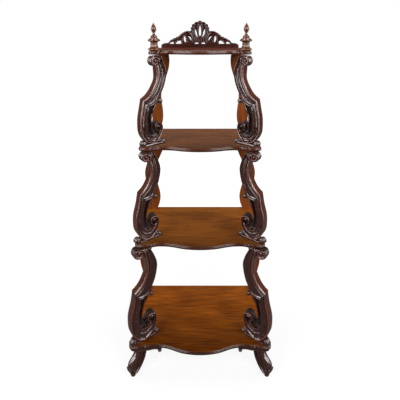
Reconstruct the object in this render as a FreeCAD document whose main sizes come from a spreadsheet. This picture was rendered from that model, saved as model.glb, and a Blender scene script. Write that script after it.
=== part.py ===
"""Victorian four-tier etagere (whatnot): four shaped shelves on carved scroll supports.

Millimetres, +Z up, +X to the right and -Y to the front.  The origin is at floor level under
the middle of the bounding box.  Pieces are made for the right-hand side or on the centre
line, and each left-hand piece is the mirror image of its right-hand partner.
"""
import FreeCAD, Part
import math
import os

Vector = FreeCAD.Vector
Placement = FreeCAD.Placement
Rotation = FreeCAD.Rotation
X_AXIS = Vector(1, 0, 0)
Z_AXIS = Vector(0, 0, 1)

TIERS = {"lower": ("bottom", "lower"), "middle": ("lower", "upper"), "upper": ("upper", "top")}

# ---------------------------------------------------------------- driving dimensions

SIZES = {
    "back_face": 212, "shelf_thickness": 15, "edge_step": 5, "edge_step_inset": 3,

    # shelves: height of the top face, half width, depth to the corner and to the bow, lobe
    "bottom_shelf_height": 172, "bottom_shelf_half_width": 306,
    "bottom_shelf_corner": 398, "bottom_shelf_bow": 424, "bottom_shelf_lobe": 74,
    "lower_shelf_height": 633, "lower_shelf_half_width": 264,
    "lower_shelf_corner": 336, "lower_shelf_bow": 349, "lower_shelf_lobe": 69,
    "upper_shelf_height": 1025, "upper_shelf_half_width": 235,
    "upper_shelf_corner": 288, "upper_shelf_bow": 298, "upper_shelf_lobe": 62,
    "top_shelf_height": 1374, "top_shelf_half_width": 188,
    "top_shelf_corner": 237, "top_shelf_bow": 245, "top_shelf_lobe": 52,

    # front supports: planks turned so that their outer edge leads; the datum of each plank
    # is a plumb line on its front face, and reaches are measured along the plank from it
    "support_turn": 30, "support_depth": 38, "seat_height": 10,
    "hollow_depth": 17, "cove_depth": 4, "bead_width": 5, "stem_ridge": 18, "rim_width": 6,
    "curl_radius": 9, "scroll_groove": 4,
    "lower_datum_x": 260, "lower_datum_y": -176, "lower_lean": 3,
    "lower_roll": -37, "lower_roll_height": 429, "lower_roll_radius": 26, "lower_neck": -140,
    "lower_bulge": -109, "lower_stem": -62, "lower_elbow": -3, "lower_elbow_height": 254,
    "lower_curl": -76, "lower_rim": -34.5, "lower_throat": -35, "lower_belly": 28,
    "lower_base": -24, "lower_eye": -70, "lower_eye_height": 114, "lower_eye_radius": 21.5,
    "lower_ridge": 16, "lower_flat": 21,
    "middle_datum_x": 220, "middle_datum_y": -111, "middle_lean": 0,
    "middle_roll": -24, "middle_roll_height": 360, "middle_roll_radius": 19,
    "middle_neck": -125,
    "middle_bulge": -80.5, "middle_stem": -40, "middle_elbow": 8, "middle_elbow_height": 215,
    "middle_curl": -56, "middle_rim": -21, "middle_throat": -20, "middle_belly": 33,
    "middle_base": -14, "middle_eye": -47, "middle_eye_height": 93, "middle_eye_radius": 18.5,
    "middle_ridge": 11, "middle_flat": 19,
    "upper_datum_x": 195, "upper_datum_y": -73, "upper_lean": 0,
    "upper_roll": -44, "upper_roll_height": 314, "upper_roll_radius": 19, "upper_neck": -100,
    "upper_bulge": -86, "upper_stem": -48, "upper_elbow": 8, "upper_elbow_height": 179,
    "upper_curl": -59.5, "upper_rim": -28, "upper_throat": -24, "upper_belly": 25,
    "upper_base": -18, "upper_eye": -48, "upper_eye_height": 75, "upper_eye_radius": 17,
    "upper_ridge": 11, "upper_flat": 16,

    # scroll plinths: a bar between two rolls, turned a little more than the plank above; the
    # rolls are measured from the dowel that pins the plank and its plinth to the shelf
    "plinth_turn": 41, "plinth_depth": 24, "plinth_setback": 4,
    "lower_outer_roll": 42, "lower_outer_roll_radius": 16,
    "lower_inner_roll": -70, "lower_inner_roll_radius": 12,
    "middle_outer_roll": 40, "middle_outer_roll_radius": 14,
    "middle_inner_roll": -61, "middle_inner_roll_radius": 10,
    "upper_outer_roll": 30, "upper_outer_roll_radius": 12,
    "upper_inner_roll": -57, "upper_inner_roll_radius": 9,

    # rear supports: plain waved boards just inside the back edge
    "board_thickness": 16, "board_width": 46, "board_inset": 12,

    # gallery and finials
    "rail_length": 320, "rail_height": 13, "rail_depth": 17, "rail_inset": 2,
    "crest_thickness": 12, "crest_length": 313, "crest_height": 93,
    "finial_x": 166, "finial_y": 0, "spigot_radius": 5,

    # feet
    "foot_turn": 45, "foot_depth": 36, "front_foot_x": 268, "front_foot_y": -145,
    "rear_foot_x": 259, "rear_foot_y": 174, "foot_round": 5,
    "peg_radius": 11, "peg_height": 16, "peg_reach": 38, "peg_tenon_radius": 6,
    "peg_tenon_length": 14,
    "bracket_height": 18, "bracket_inset": 5, "bracket_width": 15, "drop_radius": 8,
    "drop_height": 30,

    # joinery
    "dowel_radius": 4, "board_dowel_radius": 3, "dowel_in_shelf": 8, "dowel_in_support": 26,
    "screw_radius": 2, "screw_head_radius": 4, "screw_head_depth": 2, "screw_length": 25,
}

doc = FreeCAD.newDocument("Etagere")
sheet = doc.addObject("Spreadsheet::Sheet", "sizes")
for row, (name, number) in enumerate(SIZES.items(), start=1):
    sheet.set("A%d" % row, name)
    sheet.set("B%d" % row, str(number))
    sheet.setAlias("B%d" % row, name)
doc.recompute()


def size(name):
    """The number in one cell, in millimetres or degrees."""
    return float(sheet.get(name))


def underside(shelf):
    return size(shelf + "_shelf_height") - size("shelf_thickness")


# ---------------------------------------------------------------- profiles

def chain(start, *runs):
    """Segments that follow one another from start, each a list with both of its ends."""
    segments = []
    for run in runs:
        segments.append([start] + list(run))
        start = run[-1]
    return segments


def mirrored(segments):
    """The same segments on the other side of the middle line, traced back to the start."""
    return [[(-x, y) for x, y in reversed(segment)] for segment in reversed(segments)]


def curve(segment):
    """Two points make a line, three an arc and more a smooth curve through them all."""
    points = [Vector(x, y, 0) for x, y in segment]
    if len(points) == 2:
        return Part.LineSegment(*points)
    if len(points) == 3:
        return Part.Arc(*points)
    smooth = Part.BSplineCurve()
    smooth.interpolate(points)
    return smooth


def circle(x, y, radius):
    return [Part.Circle(Vector(x, y, 0), Z_AXIS, radius)]


def on_circle(centre, radius, degrees):
    angle = math.radians(degrees)
    return (centre[0] + radius * math.cos(angle), centre[1] + radius * math.sin(angle))


# ---------------------------------------------------------------- features

nodes = []


def new_body(label):
    body = doc.addObject("PartDesign::Body", label)
    body.Label = label
    return body


def sketch(body, plane, segments, height_cell=None):
    """A sketch on one of the body's own origin planes, at a height from the sheet."""
    drawing = body.newObject("Sketcher::SketchObject", body.Name + "_sketch")
    origin_plane = [item for item in body.Origin.OriginFeatures if item.Role == plane][0]
    drawing.AttachmentSupport = [(origin_plane, "")]
    drawing.MapMode = "FlatFace"
    if height_cell:
        drawing.setExpression("AttachmentOffset.Base.z", height_cell)
    curves = [item if hasattr(item, "toShape") else curve(item) for item in segments]
    drawing.addGeometry(curves, False)
    return drawing


def pad(body, drawing, length, centred=False, backwards=False):
    feature = body.newObject("PartDesign::Pad", body.Name + "_pad")
    feature.Profile = drawing
    feature.setExpression("Length", length)
    feature.Midplane = centred
    feature.Reversed = backwards
    doc.recompute()
    return feature


def pocket(body, drawing, length, backwards=False):
    before = body.Shape.Volume
    feature = body.newObject("PartDesign::Pocket", body.Name + "_pocket")
    feature.Profile = drawing
    feature.setExpression("Length", length)
    feature.Reversed = backwards
    doc.recompute()
    if not body.Shape.Volume < before - 1:
        raise ValueError("a pocket in %s cuts nothing" % body.Label)
    return feature


def revolve(body, drawing):
    """A full turn about the upright axis of the sketch."""
    feature = body.newObject("PartDesign::Revolution", body.Name + "_turning")
    feature.Profile = drawing
    feature.ReferenceAxis = (drawing, ["V_Axis"])
    feature.Angle = 360
    doc.recompute()
    return feature


def round_edges(body, base, chosen, radius):
    """Fillets every edge of the base feature for which chosen(edge) is true."""
    names = ["Edge%d" % number for number, edge in enumerate(base.Shape.Edges, start=1)
             if chosen(edge)]
    feature = body.newObject("PartDesign::Fillet", body.Name + "_round")
    feature.Base = (base, names)
    feature.setExpression("Radius", radius)
    doc.recompute()
    return feature


def lies_at(edge, axis, place):
    """True where the whole edge lies at one place along an axis ("x", "y" or "z")."""
    box = edge.BoundBox
    low = getattr(box, axis.upper() + "Min")
    high = getattr(box, axis.upper() + "Max")
    return abs(low - place) < 0.01 and abs(high - place) < 0.01


def cylinder(label, radius, place, height):
    """An upright cylinder whose foot is at the point place."""
    peg = doc.addObject("Part::Cylinder", label)
    peg.setExpression("Radius", radius)
    peg.setExpression("Height", height)
    peg.Placement = Placement(Vector(*place), Rotation())
    return peg


def boolean(kind, label, base, tools):
    """base with every tool cut from it, fused to it or kept in common with it."""
    tool = tools[0]
    if len(tools) > 1:
        tool = doc.addObject("Part::MultiFuse", label + "_tools")
        tool.Shapes = tools
    result = doc.addObject("Part::" + kind, label)
    result.Label = label
    result.Base = base
    result.Tool = tool
    return result


def mirror_image(source, label):
    twin = doc.addObject("Part::Mirroring", label)
    twin.Label = label
    twin.Source = source
    twin.Normal = X_AXIS
    twin.Base = Vector(0, 0, 0)
    return twin


def keep_pair(name, right_piece):
    """Keeps a right-hand piece and its mirror image as two nodes."""
    right_piece.Label = name + "_right"
    nodes.append(right_piece)
    nodes.append(mirror_image(right_piece, name + "_left"))


def keep_group(label, right_items, middle_items=()):
    """Keeps small identical pieces as one node: right-hand ones, their twins and middle ones."""
    items = list(right_items) + list(middle_items)
    for number, item in enumerate(right_items, start=1):
        items.append(mirror_image(item, "%s_twin_%d" % (label, number)))
    compound = doc.addObject("Part::Compound", label)
    compound.Label = label
    compound.Links = items
    nodes.append(compound)


# ---------------------------------------------------------------- where the pieces stand

def tier_height(tier):
    below, above = TIERS[tier]
    return underside(above) - size(below + "_shelf_height")


def plank_point(tier, along, into, height=0):
    """Plan position on a right-hand front support: along it, and in from its front face."""
    turn = math.radians(size("support_turn"))
    into = into + height * math.tan(math.radians(size(tier + "_lean")))
    x = size(tier + "_datum_x") + along * math.cos(turn) + into * math.sin(turn)
    y = size(tier + "_datum_y") - along * math.sin(turn) + into * math.cos(turn)
    return x, y


def foot_dowel(tier):
    """Plan position of the dowel that pins a support, through its plinth, to the shelf."""
    return plank_point(tier, size(tier + "_base"), size("support_depth") / 2)


def head_dowel(tier):
    """Plan position of the dowel between a support and the shelf that it carries."""
    along = (size(tier + "_roll") + size(tier + "_bulge")) / 2
    return plank_point(tier, along, 0.72 * size("support_depth"), tier_height(tier))


BOARD_LINES = {
    "lower": [(280, 0), (264, 0.18), (278, 0.4), (254, 0.62), (238, 0.82), (237, 1)],
    "middle": [(231, 0), (212, 0.22), (231, 0.5), (194, 0.78), (178, 1)],
    "upper": [(202, 0), (185, 0.22), (190, 0.48), (154, 0.82), (156, 1)],
}


def board_dowels(tier):
    """Plan positions of the dowels in the foot and in the head of a rear support."""
    y = size("back_face") - size("board_inset") - size("board_thickness") / 2
    return (BOARD_LINES[tier][0][0], y), (BOARD_LINES[tier][-1][0], y)


FEET = {"front": ("foot_turn", "front_foot_x", "front_foot_y"),
        "rear": (None, "rear_foot_x", "rear_foot_y")}


def foot_point(end, along):
    """Plan position on the middle line of a right-hand foot."""
    turn_cell, x_cell, y_cell = FEET[end]
    turn = math.radians(size(turn_cell)) if turn_cell else 0
    return size(x_cell) + along * math.cos(turn), size(y_cell) - along * math.sin(turn)


def foot_dowels(end):
    return [foot_point(end, -26), foot_point(end, 12)]


# ---------------------------------------------------------------- shelves

def shelf_runs(shelf, inset=0):
    """The bow, one corner lobe and one side of a shelf, as (x, depth from the back).

    A small rounded nose flanks the lobe on either side, and a sharp notch parts the two.
    """
    half = size(shelf + "_shelf_half_width") - inset
    corner = size(shelf + "_shelf_corner") - inset
    bow = size(shelf + "_shelf_bow") - inset
    lobe = size(shelf + "_shelf_lobe")
    nose_x, nose_depth = half - lobe, corner - lobe
    trough = corner - 13
    rise = bow - trough
    front_notch = (nose_x + 9, corner - 9.5)
    side_notch = (half - 9.5, nose_depth + 9)
    bow_run = [front_notch, (nose_x, corner - 6.5), (nose_x - 10, corner - 9),
               (0.78 * nose_x, trough), (0.58 * nose_x, trough + 0.2 * rise),
               (0.38 * nose_x, trough + 0.66 * rise), (0.19 * nose_x, trough + 0.92 * rise)]
    lobe_run = [front_notch, (half - 0.74 * lobe, corner - 2.5), (half - 0.5 * lobe, corner),
                (half - 0.25 * lobe, corner - 1.5), (half - 6.5, corner - 6.5),
                (half - 1.5, corner - 0.25 * lobe), (half, corner - 0.5 * lobe),
                (half - 2.5, corner - 0.74 * lobe), side_notch]
    side_run = [side_notch, (half - 6.5, nose_depth), (half - 9, nose_depth - 10),
                (half - 14, 0.6 * corner), (half - 12, 0.36 * corner),
                (half - 5, 0.14 * corner), (half - 3, 0)]
    return bow_run, bow, lobe_run, side_run


def shelf_outline(shelf, inset=0):
    """The closed plan outline of a shelf, symmetrical about the middle line."""
    bow_run, bow, lobe_run, side_run = shelf_runs(shelf, inset)
    whole_bow = [(-x, depth) for x, depth in bow_run] + [(0, bow)] + bow_run[::-1]
    right = [lobe_run, side_run]
    back = [side_run[-1], (-side_run[-1][0], 0)]
    segments = [whole_bow] + right + [back] + mirrored(right)
    return [[(x, size("back_face") - depth) for x, depth in segment] for segment in segments]


def holes_above(shelf):
    """Blind holes in the top face of a shelf, right-hand side only: x, y, radius."""
    holes = []
    for tier, (below, above) in TIERS.items():
        if below == shelf:
            holes.append(foot_dowel(tier) + (size("dowel_radius"),))
            holes.append(board_dowels(tier)[0] + (size("board_dowel_radius"),))
    if shelf == "top":
        holes.append((size("finial_x"), size("finial_y"), size("spigot_radius")))
    return holes


def holes_below(shelf):
    """Blind holes in the underside of a shelf, right-hand side only: x, y, radius."""
    holes = []
    for tier, (below, above) in TIERS.items():
        if above == shelf:
            holes.append(head_dowel(tier) + (size("dowel_radius"),))
            holes.append(board_dowels(tier)[1] + (size("board_dowel_radius"),))
    if shelf == "bottom":
        for end in FEET:
            holes += [place + (size("dowel_radius"),) for place in foot_dowels(end)]
    return holes


def on_both_sides(holes):
    circles = []
    for x, y, radius in holes:
        circles += circle(x, y, radius) + circle(-x, y, radius)
    return circles


def make_shelf(shelf):
    body = new_body("shelf_" + shelf)
    pad(body, sketch(body, "XY_Plane", shelf_outline(shelf)),
        "sizes.shelf_thickness - sizes.edge_step")
    tread = sketch(body, "XY_Plane", shelf_outline(shelf, size("edge_step_inset")),
                   "sizes.shelf_thickness - sizes.edge_step")
    pad(body, tread, "sizes.edge_step")
    if holes_above(shelf):
        upper = sketch(body, "XY_Plane", on_both_sides(holes_above(shelf)),
                       "sizes.shelf_thickness")
        pocket(body, upper, "sizes.dowel_in_shelf")
    lower = sketch(body, "XY_Plane", on_both_sides(holes_below(shelf)))
    pocket(body, lower, "sizes.dowel_in_shelf", backwards=True)
    if shelf == "top":
        clear = []
        for x in screw_places():
            clear += circle(x, rail_middle(), size("screw_radius"))
        pocket(body, sketch(body, "XY_Plane", clear), "sizes.shelf_thickness", backwards=True)
    body.setExpression("Placement.Base.z",
                       "sizes.%s_shelf_height - sizes.shelf_thickness" % shelf)
    nodes.append(body)


# ---------------------------------------------------------------- gallery

def rail_middle():
    return size("back_face") - size("rail_inset") - size("rail_depth") / 2


def screw_places():
    spread = 0.36 * size("rail_length")
    return (-spread, 0, spread)


def make_rail():
    """A moulded rail along the back of the top shelf, with a hollow above a quarter round."""
    body = new_body("gallery_rail")
    depth, height = size("rail_depth"), size("rail_height")
    profile = chain((depth, 0), [(0, 0)], [(0, 2.5)], [(1.2, 5.4), (3.6, 7)],
                    [(2.4, 7.8)], [(2.0, 10.6), (4.2, height)], [(depth, height)], [(depth, 0)])
    pad(body, sketch(body, "YZ_Plane", profile), "sizes.rail_length", centred=True)
    pilots = []
    for x in screw_places():
        pilots += circle(x, depth / 2, size("screw_radius"))
    pocket(body, sketch(body, "XY_Plane", pilots),
           "sizes.screw_length - sizes.shelf_thickness", backwards=True)
    body.setExpression("Placement.Base.y", "sizes.back_face - sizes.rail_inset - sizes.rail_depth")
    body.setExpression("Placement.Base.z", "sizes.top_shelf_height")
    nodes.append(body)


def crest_outline():
    """Stepped shoulders that climb to a scrolled arch, with a lobed palmette in the middle."""
    half = size("crest_length") / 2
    tall = size("crest_height")
    right = chain((0, tall),
                  [(6, tall - 1.5), (9.5, tall - 6)],
                  [(17, tall - 5), (23.5, tall - 14)],
                  [(31, tall - 14), (31.5, tall - 23)],
                  [(38, tall - 28), (34.5, tall - 37)],
                  [(36, tall - 40), (39, tall - 41.5)],
                  [(52, tall - 39.5), (69, tall - 45), (83, tall - 55), (92, tall - 63)],
                  [(97, tall - 63), (100, tall - 67)],
                  [(108, tall - 68), (117, tall - 75)],
                  [(120, tall - 74), (122, tall - 76)],
                  [(126, tall - 79), (129, tall - 83.5), (140, tall - 87), (half, 0)])
    return right + [[(half, 0), (-half, 0)]] + mirrored(right)


def crest_piercings():
    """Pierced work of the right half of the crest, and the two openings in the middle."""
    teardrop = chain((0, 76), [(3.4, 62), (4.4, 50), (3, 38), (0, 33)],
                     [(-3, 38), (-4.4, 50), (-3.4, 62), (0, 76)])
    slot = chain((20, 61), [(14, 48), (11.5, 38), (9, 29)], [(16, 37), (20, 48), (20, 61)])
    crescent = chain((36, 17), [(40, 29), (50, 32)], [(44, 27), (38, 17)], [(37, 16.5)],
                     [(36, 17)])
    wave = chain((58, 8), [(66, 16), (67, 26), (61, 39)], [(60, 28), (59, 18), (58, 8)])
    window = chain((78, 3), [(101, 3)], [(93, 12), (80, 15)], [(78, 9.5), (78, 3)])
    base_lunette = chain((6, 2.8), [(22, 2.8)], [(14, 9), (6, 2.8)])
    small_window = chain((108, 3), [(126, 3)], [(118, 9), (109, 10)], [(108, 3)])
    right = slot + crescent + wave + window + base_lunette + small_window
    return teardrop + right + mirrored(right)


def make_crest():
    body = new_body("gallery_crest")
    pad(body, sketch(body, "XZ_Plane", crest_outline()), "sizes.crest_thickness", centred=True)
    through = sketch(body, "XZ_Plane", crest_piercings(), "sizes.crest_thickness")
    pocket(body, through, "2 * sizes.crest_thickness")
    body.setExpression("Placement.Base.y",
                       "sizes.back_face - sizes.rail_inset - sizes.rail_depth / 2 + 1")
    body.setExpression("Placement.Base.z", "sizes.top_shelf_height + sizes.rail_height")
    nodes.append(body)


def make_gallery_screws():
    """Countersunk screws from under the top shelf into the rail."""
    screws = []
    for number, x in enumerate(screw_places(), start=1):
        body = new_body("gallery_screw_%d" % number)
        shank, length = size("screw_radius"), size("screw_length")
        profile = chain((0, 0), [(shank, 0)], [(shank, length)], [(0, length)], [(0, 0)])
        revolve(body, sketch(body, "XZ_Plane", profile))
        body.Placement = Placement(Vector(x, rail_middle(), underside("top")), Rotation())
        screws.append(body)
    keep_group("gallery_screws", [], screws)


# ---------------------------------------------------------------- finials

def make_finial():
    """A turned spire: bell foot, reel, flat disc, waist, ring, ball and pointed bud."""
    body = new_body("finial")
    reach, deep = size("spigot_radius"), size("dowel_in_shelf")
    profile = chain((0, -deep), [(reach, -deep)], [(reach, 0)], [(23, 0)],
                    [(23.6, 2.6), (20, 5.5)],
                    [(14.5, 11), (12.6, 17), (11, 22)],
                    [(13.4, 24.5), (12.8, 27)],
                    [(16, 30), (20, 31.5), (22.4, 34.3)],
                    [(20.5, 38.5), (14, 42), (10, 46.3)],
                    [(12, 48), (10.7, 49.6)],
                    [(6.5, 53), (4, 57), (3.2, 60)],
                    [(7, 62.2), (9.2, 66), (8.2, 69)],
                    [(7, 70.5), (7.6, 72.5)],
                    [(9.9, 75.6), (9, 79.5), (5, 86), (1.6, 91), (0, 94)],
                    [(0, -deep)])
    revolve(body, sketch(body, "XZ_Plane", profile))
    body.setExpression("Placement.Base.x", "sizes.finial_x")
    body.setExpression("Placement.Base.y", "sizes.finial_y")
    body.setExpression("Placement.Base.z", "sizes.top_shelf_height")
    keep_pair("finial", body)


# ---------------------------------------------------------------- front supports

def support_outline(tier):
    """An S-scroll over a C-scroll, seen square on to the plank: (along, height)."""
    tall = tier_height(tier)
    roll, roll_radius = head_roll(tier)
    eye, eye_radius = lower_volute(tier)
    stem, bulge, rim = size(tier + "_stem"), size(tier + "_bulge"), size(tier + "_rim")
    elbow, elbow_height = size(tier + "_elbow"), size(tier + "_elbow_height")
    belly, base, curl = size(tier + "_belly"), size(tier + "_base"), size(tier + "_curl")
    curl_centre = (curl, 0.51 * tall)
    curl_radius = size("curl_radius")
    side, swell = base - eye[0] + eye_radius, belly - base
    waist = curl + 5 - bulge
    throat = (size(tier + "_throat"), eye[1] - eye_radius)
    head = (roll[0] + 0.4 * roll_radius, tall + 3)
    return chain(
        (bulge + 0.062 * tall, tall + 3),
        [head],
        # the head volute, on the outside
        [on_circle(roll, roll_radius, 15), on_circle(roll, roll_radius, -20),
         on_circle(roll, roll_radius, -60), on_circle(roll, roll_radius, -95),
         on_circle(roll, roll_radius, size(tier + "_neck"))],
        # down the outer edge of the stem to the elbow
        [(stem + 1, 0.86 * tall), (stem, 0.80 * tall)]
        + [(stem + out * (elbow - stem), elbow_height + up * (0.80 * tall - elbow_height))
           for out, up in ((0.035, 0.78), (0.21, 0.54), (0.49, 0.27), (0.71, 0.13), (1, 0))],
        # the belly of the C, round its base and up to the side of the lower volute
        [(elbow + 0.45 * (belly - elbow), 0.43 * tall),
         (elbow + 0.87 * (belly - elbow), 0.33 * tall), (belly, 0.235 * tall),
         (base + 0.97 * swell, 0.165 * tall), (base + 0.80 * swell, 0.107 * tall),
         (base + 0.5 * swell, 0.056 * tall), (base + 14, 13), (base, 8),
         (base - 0.30 * side, 0.19 * eye[1]), (base - 0.62 * side, 0.36 * eye[1]),
         (base - 0.85 * side, 0.57 * eye[1]), (base - 0.965 * side, 0.79 * eye[1]),
         (base - side, eye[1])],
        [on_circle(eye, eye_radius, 90), on_circle(eye, eye_radius, 0)],
        # in to the throat, and up the thin rim to the small curl
        [throat],
        [(rim + 4, 0.25 * tall), (rim + 6, 0.305 * tall), (rim, 0.37 * tall),
         (rim - 7, 0.42 * tall), (0.5 * (rim + curl) + 2, 0.465 * tall),
         on_circle(curl_centre, curl_radius, -65)],
        [on_circle(curl_centre, curl_radius, 180), on_circle(curl_centre, curl_radius, 60)],
        # up the inner edge, round the bulge and back to the head
        [(bulge + 0.84 * waist, 0.58 * tall), (bulge + 0.47 * waist, 0.645 * tall),
         (bulge + 0.18 * waist, 0.72 * tall), (bulge, 0.80 * tall),
         (bulge + 0.018 * tall, 0.90 * tall), (bulge + 0.038 * tall, 0.95 * tall),
         (bulge + 0.062 * tall, tall + 3)])


def head_roll(tier):
    """Centre and radius of the volute at the head of a support."""
    return (size(tier + "_roll"), size(tier + "_roll_height")), size(tier + "_roll_radius")


def lower_volute(tier):
    """Centre and radius of the volute that ends the C-scroll."""
    return (size(tier + "_eye"), size(tier + "_eye_height")), size(tier + "_eye_radius")


def mitre_tip(tier):
    """Inner end of the line where the S-scroll laps over the C-scroll."""
    return (size(tier + "_elbow") - 22, size(tier + "_elbow_height") - 0.075 * tier_height(tier))


def hollow_outline(tier):
    """The deep crescent carved beside the rim, narrowing up to the mitre at the elbow."""
    tall = tier_height(tier)
    elbow, rim, belly = size(tier + "_elbow"), size(tier + "_rim"), size(tier + "_belly")
    eye, radius = lower_volute(tier)
    bands = size(tier + "_ridge") + size(tier + "_flat")
    wall = size("rim_width")
    tip = mitre_tip(tier)
    throat = (size(tier + "_throat"), eye[1] - radius)
    return chain(
        tip,
        [(elbow + 0.45 * (belly - elbow) - bands + 2, 0.43 * tall),
         (elbow + 0.87 * (belly - elbow) - bands, 0.33 * tall),
         (belly - bands - 1, 0.24 * tall), (throat[0] + 10, throat[1] - 13)],
        [(throat[0], throat[1] - 18), (throat[0] - 12, throat[1] - 10)],
        [(throat[0] + 5, throat[1] + 2), (rim + 4 + wall, 0.25 * tall),
         (rim + 6 + wall, 0.305 * tall), (rim + wall, 0.37 * tall),
         (rim + wall - 6, 0.42 * tall), tip])


def cove_outline(tier):
    """The shallow hollow down the S-scroll, between its edge bead and its main ridge."""
    tall = tier_height(tier)
    stem, bulge = size(tier + "_stem"), size(tier + "_bulge")
    elbow, elbow_height = size(tier + "_elbow"), size(tier + "_elbow_height")
    rise = 0.80 * tall - elbow_height
    waist = size(tier + "_curl") + 5 - bulge
    bead, ridge = size("bead_width"), size("stem_ridge")
    tip = (elbow - 34, elbow_height - 0.05 * tall)
    top = (0.5 * (bulge + stem) - 3, 0.93 * tall)
    return chain(
        top,
        [(bulge + bead + 0.012 * tall, 0.87 * tall), (bulge + bead, 0.80 * tall),
         (bulge + 0.18 * waist + bead + 1, 0.72 * tall),
         (bulge + 0.47 * waist + bead + 2, 0.65 * tall), tip],
        [(stem + 0.45 * (elbow - stem) - ridge - 3, elbow_height + 0.32 * rise),
         (stem + 0.17 * (elbow - stem) - ridge - 1, elbow_height + 0.58 * rise),
         (stem - ridge, 0.80 * tall), (stem - ridge + 2, 0.87 * tall), top])


def flat_outline(tier):
    """The sunk band of the C-scroll, between its outer ridge and the lip of the hollow."""
    tall = tier_height(tier)
    elbow, elbow_height = size(tier + "_elbow"), size(tier + "_elbow_height")
    belly, base = size(tier + "_belly"), size(tier + "_base")
    eye, radius = lower_volute(tier)
    ridge = size(tier + "_ridge")
    lip = ridge + size(tier + "_flat") - 5
    top = (elbow - 12, elbow_height - 0.065 * tall)
    tail = (eye[0] + 0.15 * radius, 0.58 * eye[1])
    return chain(
        top,
        [(elbow + 0.45 * (belly - elbow) - lip + 4, 0.42 * tall),
         (elbow + 0.87 * (belly - elbow) - lip, 0.33 * tall), (belly - lip - 1, 0.235 * tall),
         (base + 0.28 * (belly - base), 0.13 * tall), (base - 5, 0.10 * tall), tail],
        [(base - 14, 0.055 * tall + 9), (base + 12, 0.05 * tall + 8),
         (base + 0.55 * (belly - base), 0.13 * tall), (belly - ridge - 1, 0.235 * tall),
         (elbow + 0.87 * (belly - elbow) - ridge, 0.33 * tall),
         (elbow + 0.45 * (belly - elbow) - ridge, 0.42 * tall), top])


def spiral_groove(centre, radius, start, turn):
    """A groove that winds in from the edge of a volute towards its eye."""
    width = min(size("scroll_groove"), 0.17 * radius)
    steps = [step / 12 for step in range(13)]
    outer = [on_circle(centre, radius * (0.80 - 0.42 * step), start + turn * step)
             for step in steps]
    inner = [on_circle(centre, radius * (0.80 - 0.42 * step) - width * (1 - 0.4 * step),
                       start + turn * step)
             for step in steps]
    return chain(outer[0], outer[1:], [inner[-1]], inner[-2::-1], [outer[0]])


def make_front_support(tier):
    body = new_body("support_%s_plank" % tier)
    pad(body, sketch(body, "XZ_Plane", support_outline(tier)), "sizes.support_depth",
        backwards=True)
    pocket(body, sketch(body, "XZ_Plane", hollow_outline(tier)), "sizes.hollow_depth")
    roll, roll_radius = head_roll(tier)
    eye, eye_radius = lower_volute(tier)
    carvings = [cove_outline(tier), flat_outline(tier),
                spiral_groove(roll, roll_radius, 150, -400),
                spiral_groove(eye, eye_radius, 200, -400)]
    for carving in carvings:
        pocket(body, sketch(body, "XZ_Plane", carving), "sizes.cove_depth")
    below, above = TIERS[tier]
    floor = size(below + "_shelf_height")
    turn = Rotation(Z_AXIS, -size("support_turn"))
    lean = Rotation(X_AXIS, -size(tier + "_lean"))
    body.Placement = Placement(Vector(size(tier + "_datum_x"), size(tier + "_datum_y"), floor),
                               turn.multiply(lean))
    room = doc.addObject("Part::Box", "room_" + tier)
    room.Length = 400
    room.Width = 500
    room.setExpression("Height", "sizes.%s_shelf_height - sizes.shelf_thickness"
                       " - sizes.%s_shelf_height - sizes.seat_height" % (above, below))
    room.Placement = Placement(Vector(0, -250, floor + size("seat_height")), Rotation())
    trimmed = boolean("Common", "support_%s_trimmed" % tier, body, [room])
    foot_hole = cylinder("foot_hole_" + tier, "sizes.dowel_radius",
                         foot_dowel(tier) + (floor,),
                         "sizes.seat_height + sizes.dowel_in_support")
    head_hole = cylinder("head_hole_" + tier, "sizes.dowel_radius",
                         head_dowel(tier) + (underside(above) - size("dowel_in_support"),),
                         "sizes.dowel_in_support + 1")
    name = "front_support_" + tier
    keep_pair(name, boolean("Cut", name + "_right", trimmed, [foot_hole, head_hole]))


def make_support_dowels():
    """Plain dowels in the foot and the head of every front support."""
    dowels = []
    for tier, (below, above) in TIERS.items():
        foot_start = size(below + "_shelf_height") - size("dowel_in_shelf")
        dowels.append(cylinder("foot_dowel_" + tier, "sizes.dowel_radius",
                               foot_dowel(tier) + (foot_start,),
                               "sizes.dowel_in_shelf + sizes.seat_height"
                               " + sizes.dowel_in_support"))
        head_start = underside(above) - size("dowel_in_support")
        dowels.append(cylinder("head_dowel_" + tier, "sizes.dowel_radius",
                               head_dowel(tier) + (head_start,),
                               "sizes.dowel_in_support + sizes.dowel_in_shelf"))
    keep_group("support_dowels", dowels)


# ---------------------------------------------------------------- scroll plinths

def plinth_outline(tier):
    """A low bar that swells into a large roll outside and a small one inside."""
    bar = size("seat_height")
    outer, big = size(tier + "_outer_roll"), size(tier + "_outer_roll_radius")
    inner, small = size(tier + "_inner_roll"), size(tier + "_inner_roll_radius")
    big_reach = math.sqrt(big ** 2 - (big - bar) ** 2)
    small_reach = math.sqrt(small ** 2 - (small - bar) ** 2)
    return chain((inner, 0), [(outer, 0)],
                 [(outer + big, big), (outer - big_reach, bar)],
                 [(inner + small_reach, bar)],
                 [(inner - small, small), (inner, 0)])


def make_plinth(tier):
    name = "scroll_plinth_" + tier
    body = new_body(name + "_right")
    pad(body, sketch(body, "XZ_Plane", plinth_outline(tier)), "sizes.plinth_depth",
        centred=True)
    hole = circle(0, -size("plinth_setback"), size("dowel_radius"))
    pocket(body, sketch(body, "XY_Plane", hole), "sizes.seat_height", backwards=True)
    turn = Rotation(Z_AXIS, -size("plinth_turn"))
    dowel = Vector(*foot_dowel(tier), size(TIERS[tier][0] + "_shelf_height"))
    setback = turn.multVec(Vector(0, size("plinth_setback"), 0))
    body.Placement = Placement(dowel + setback, turn)
    keep_pair(name, body)


# ---------------------------------------------------------------- rear supports

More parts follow.
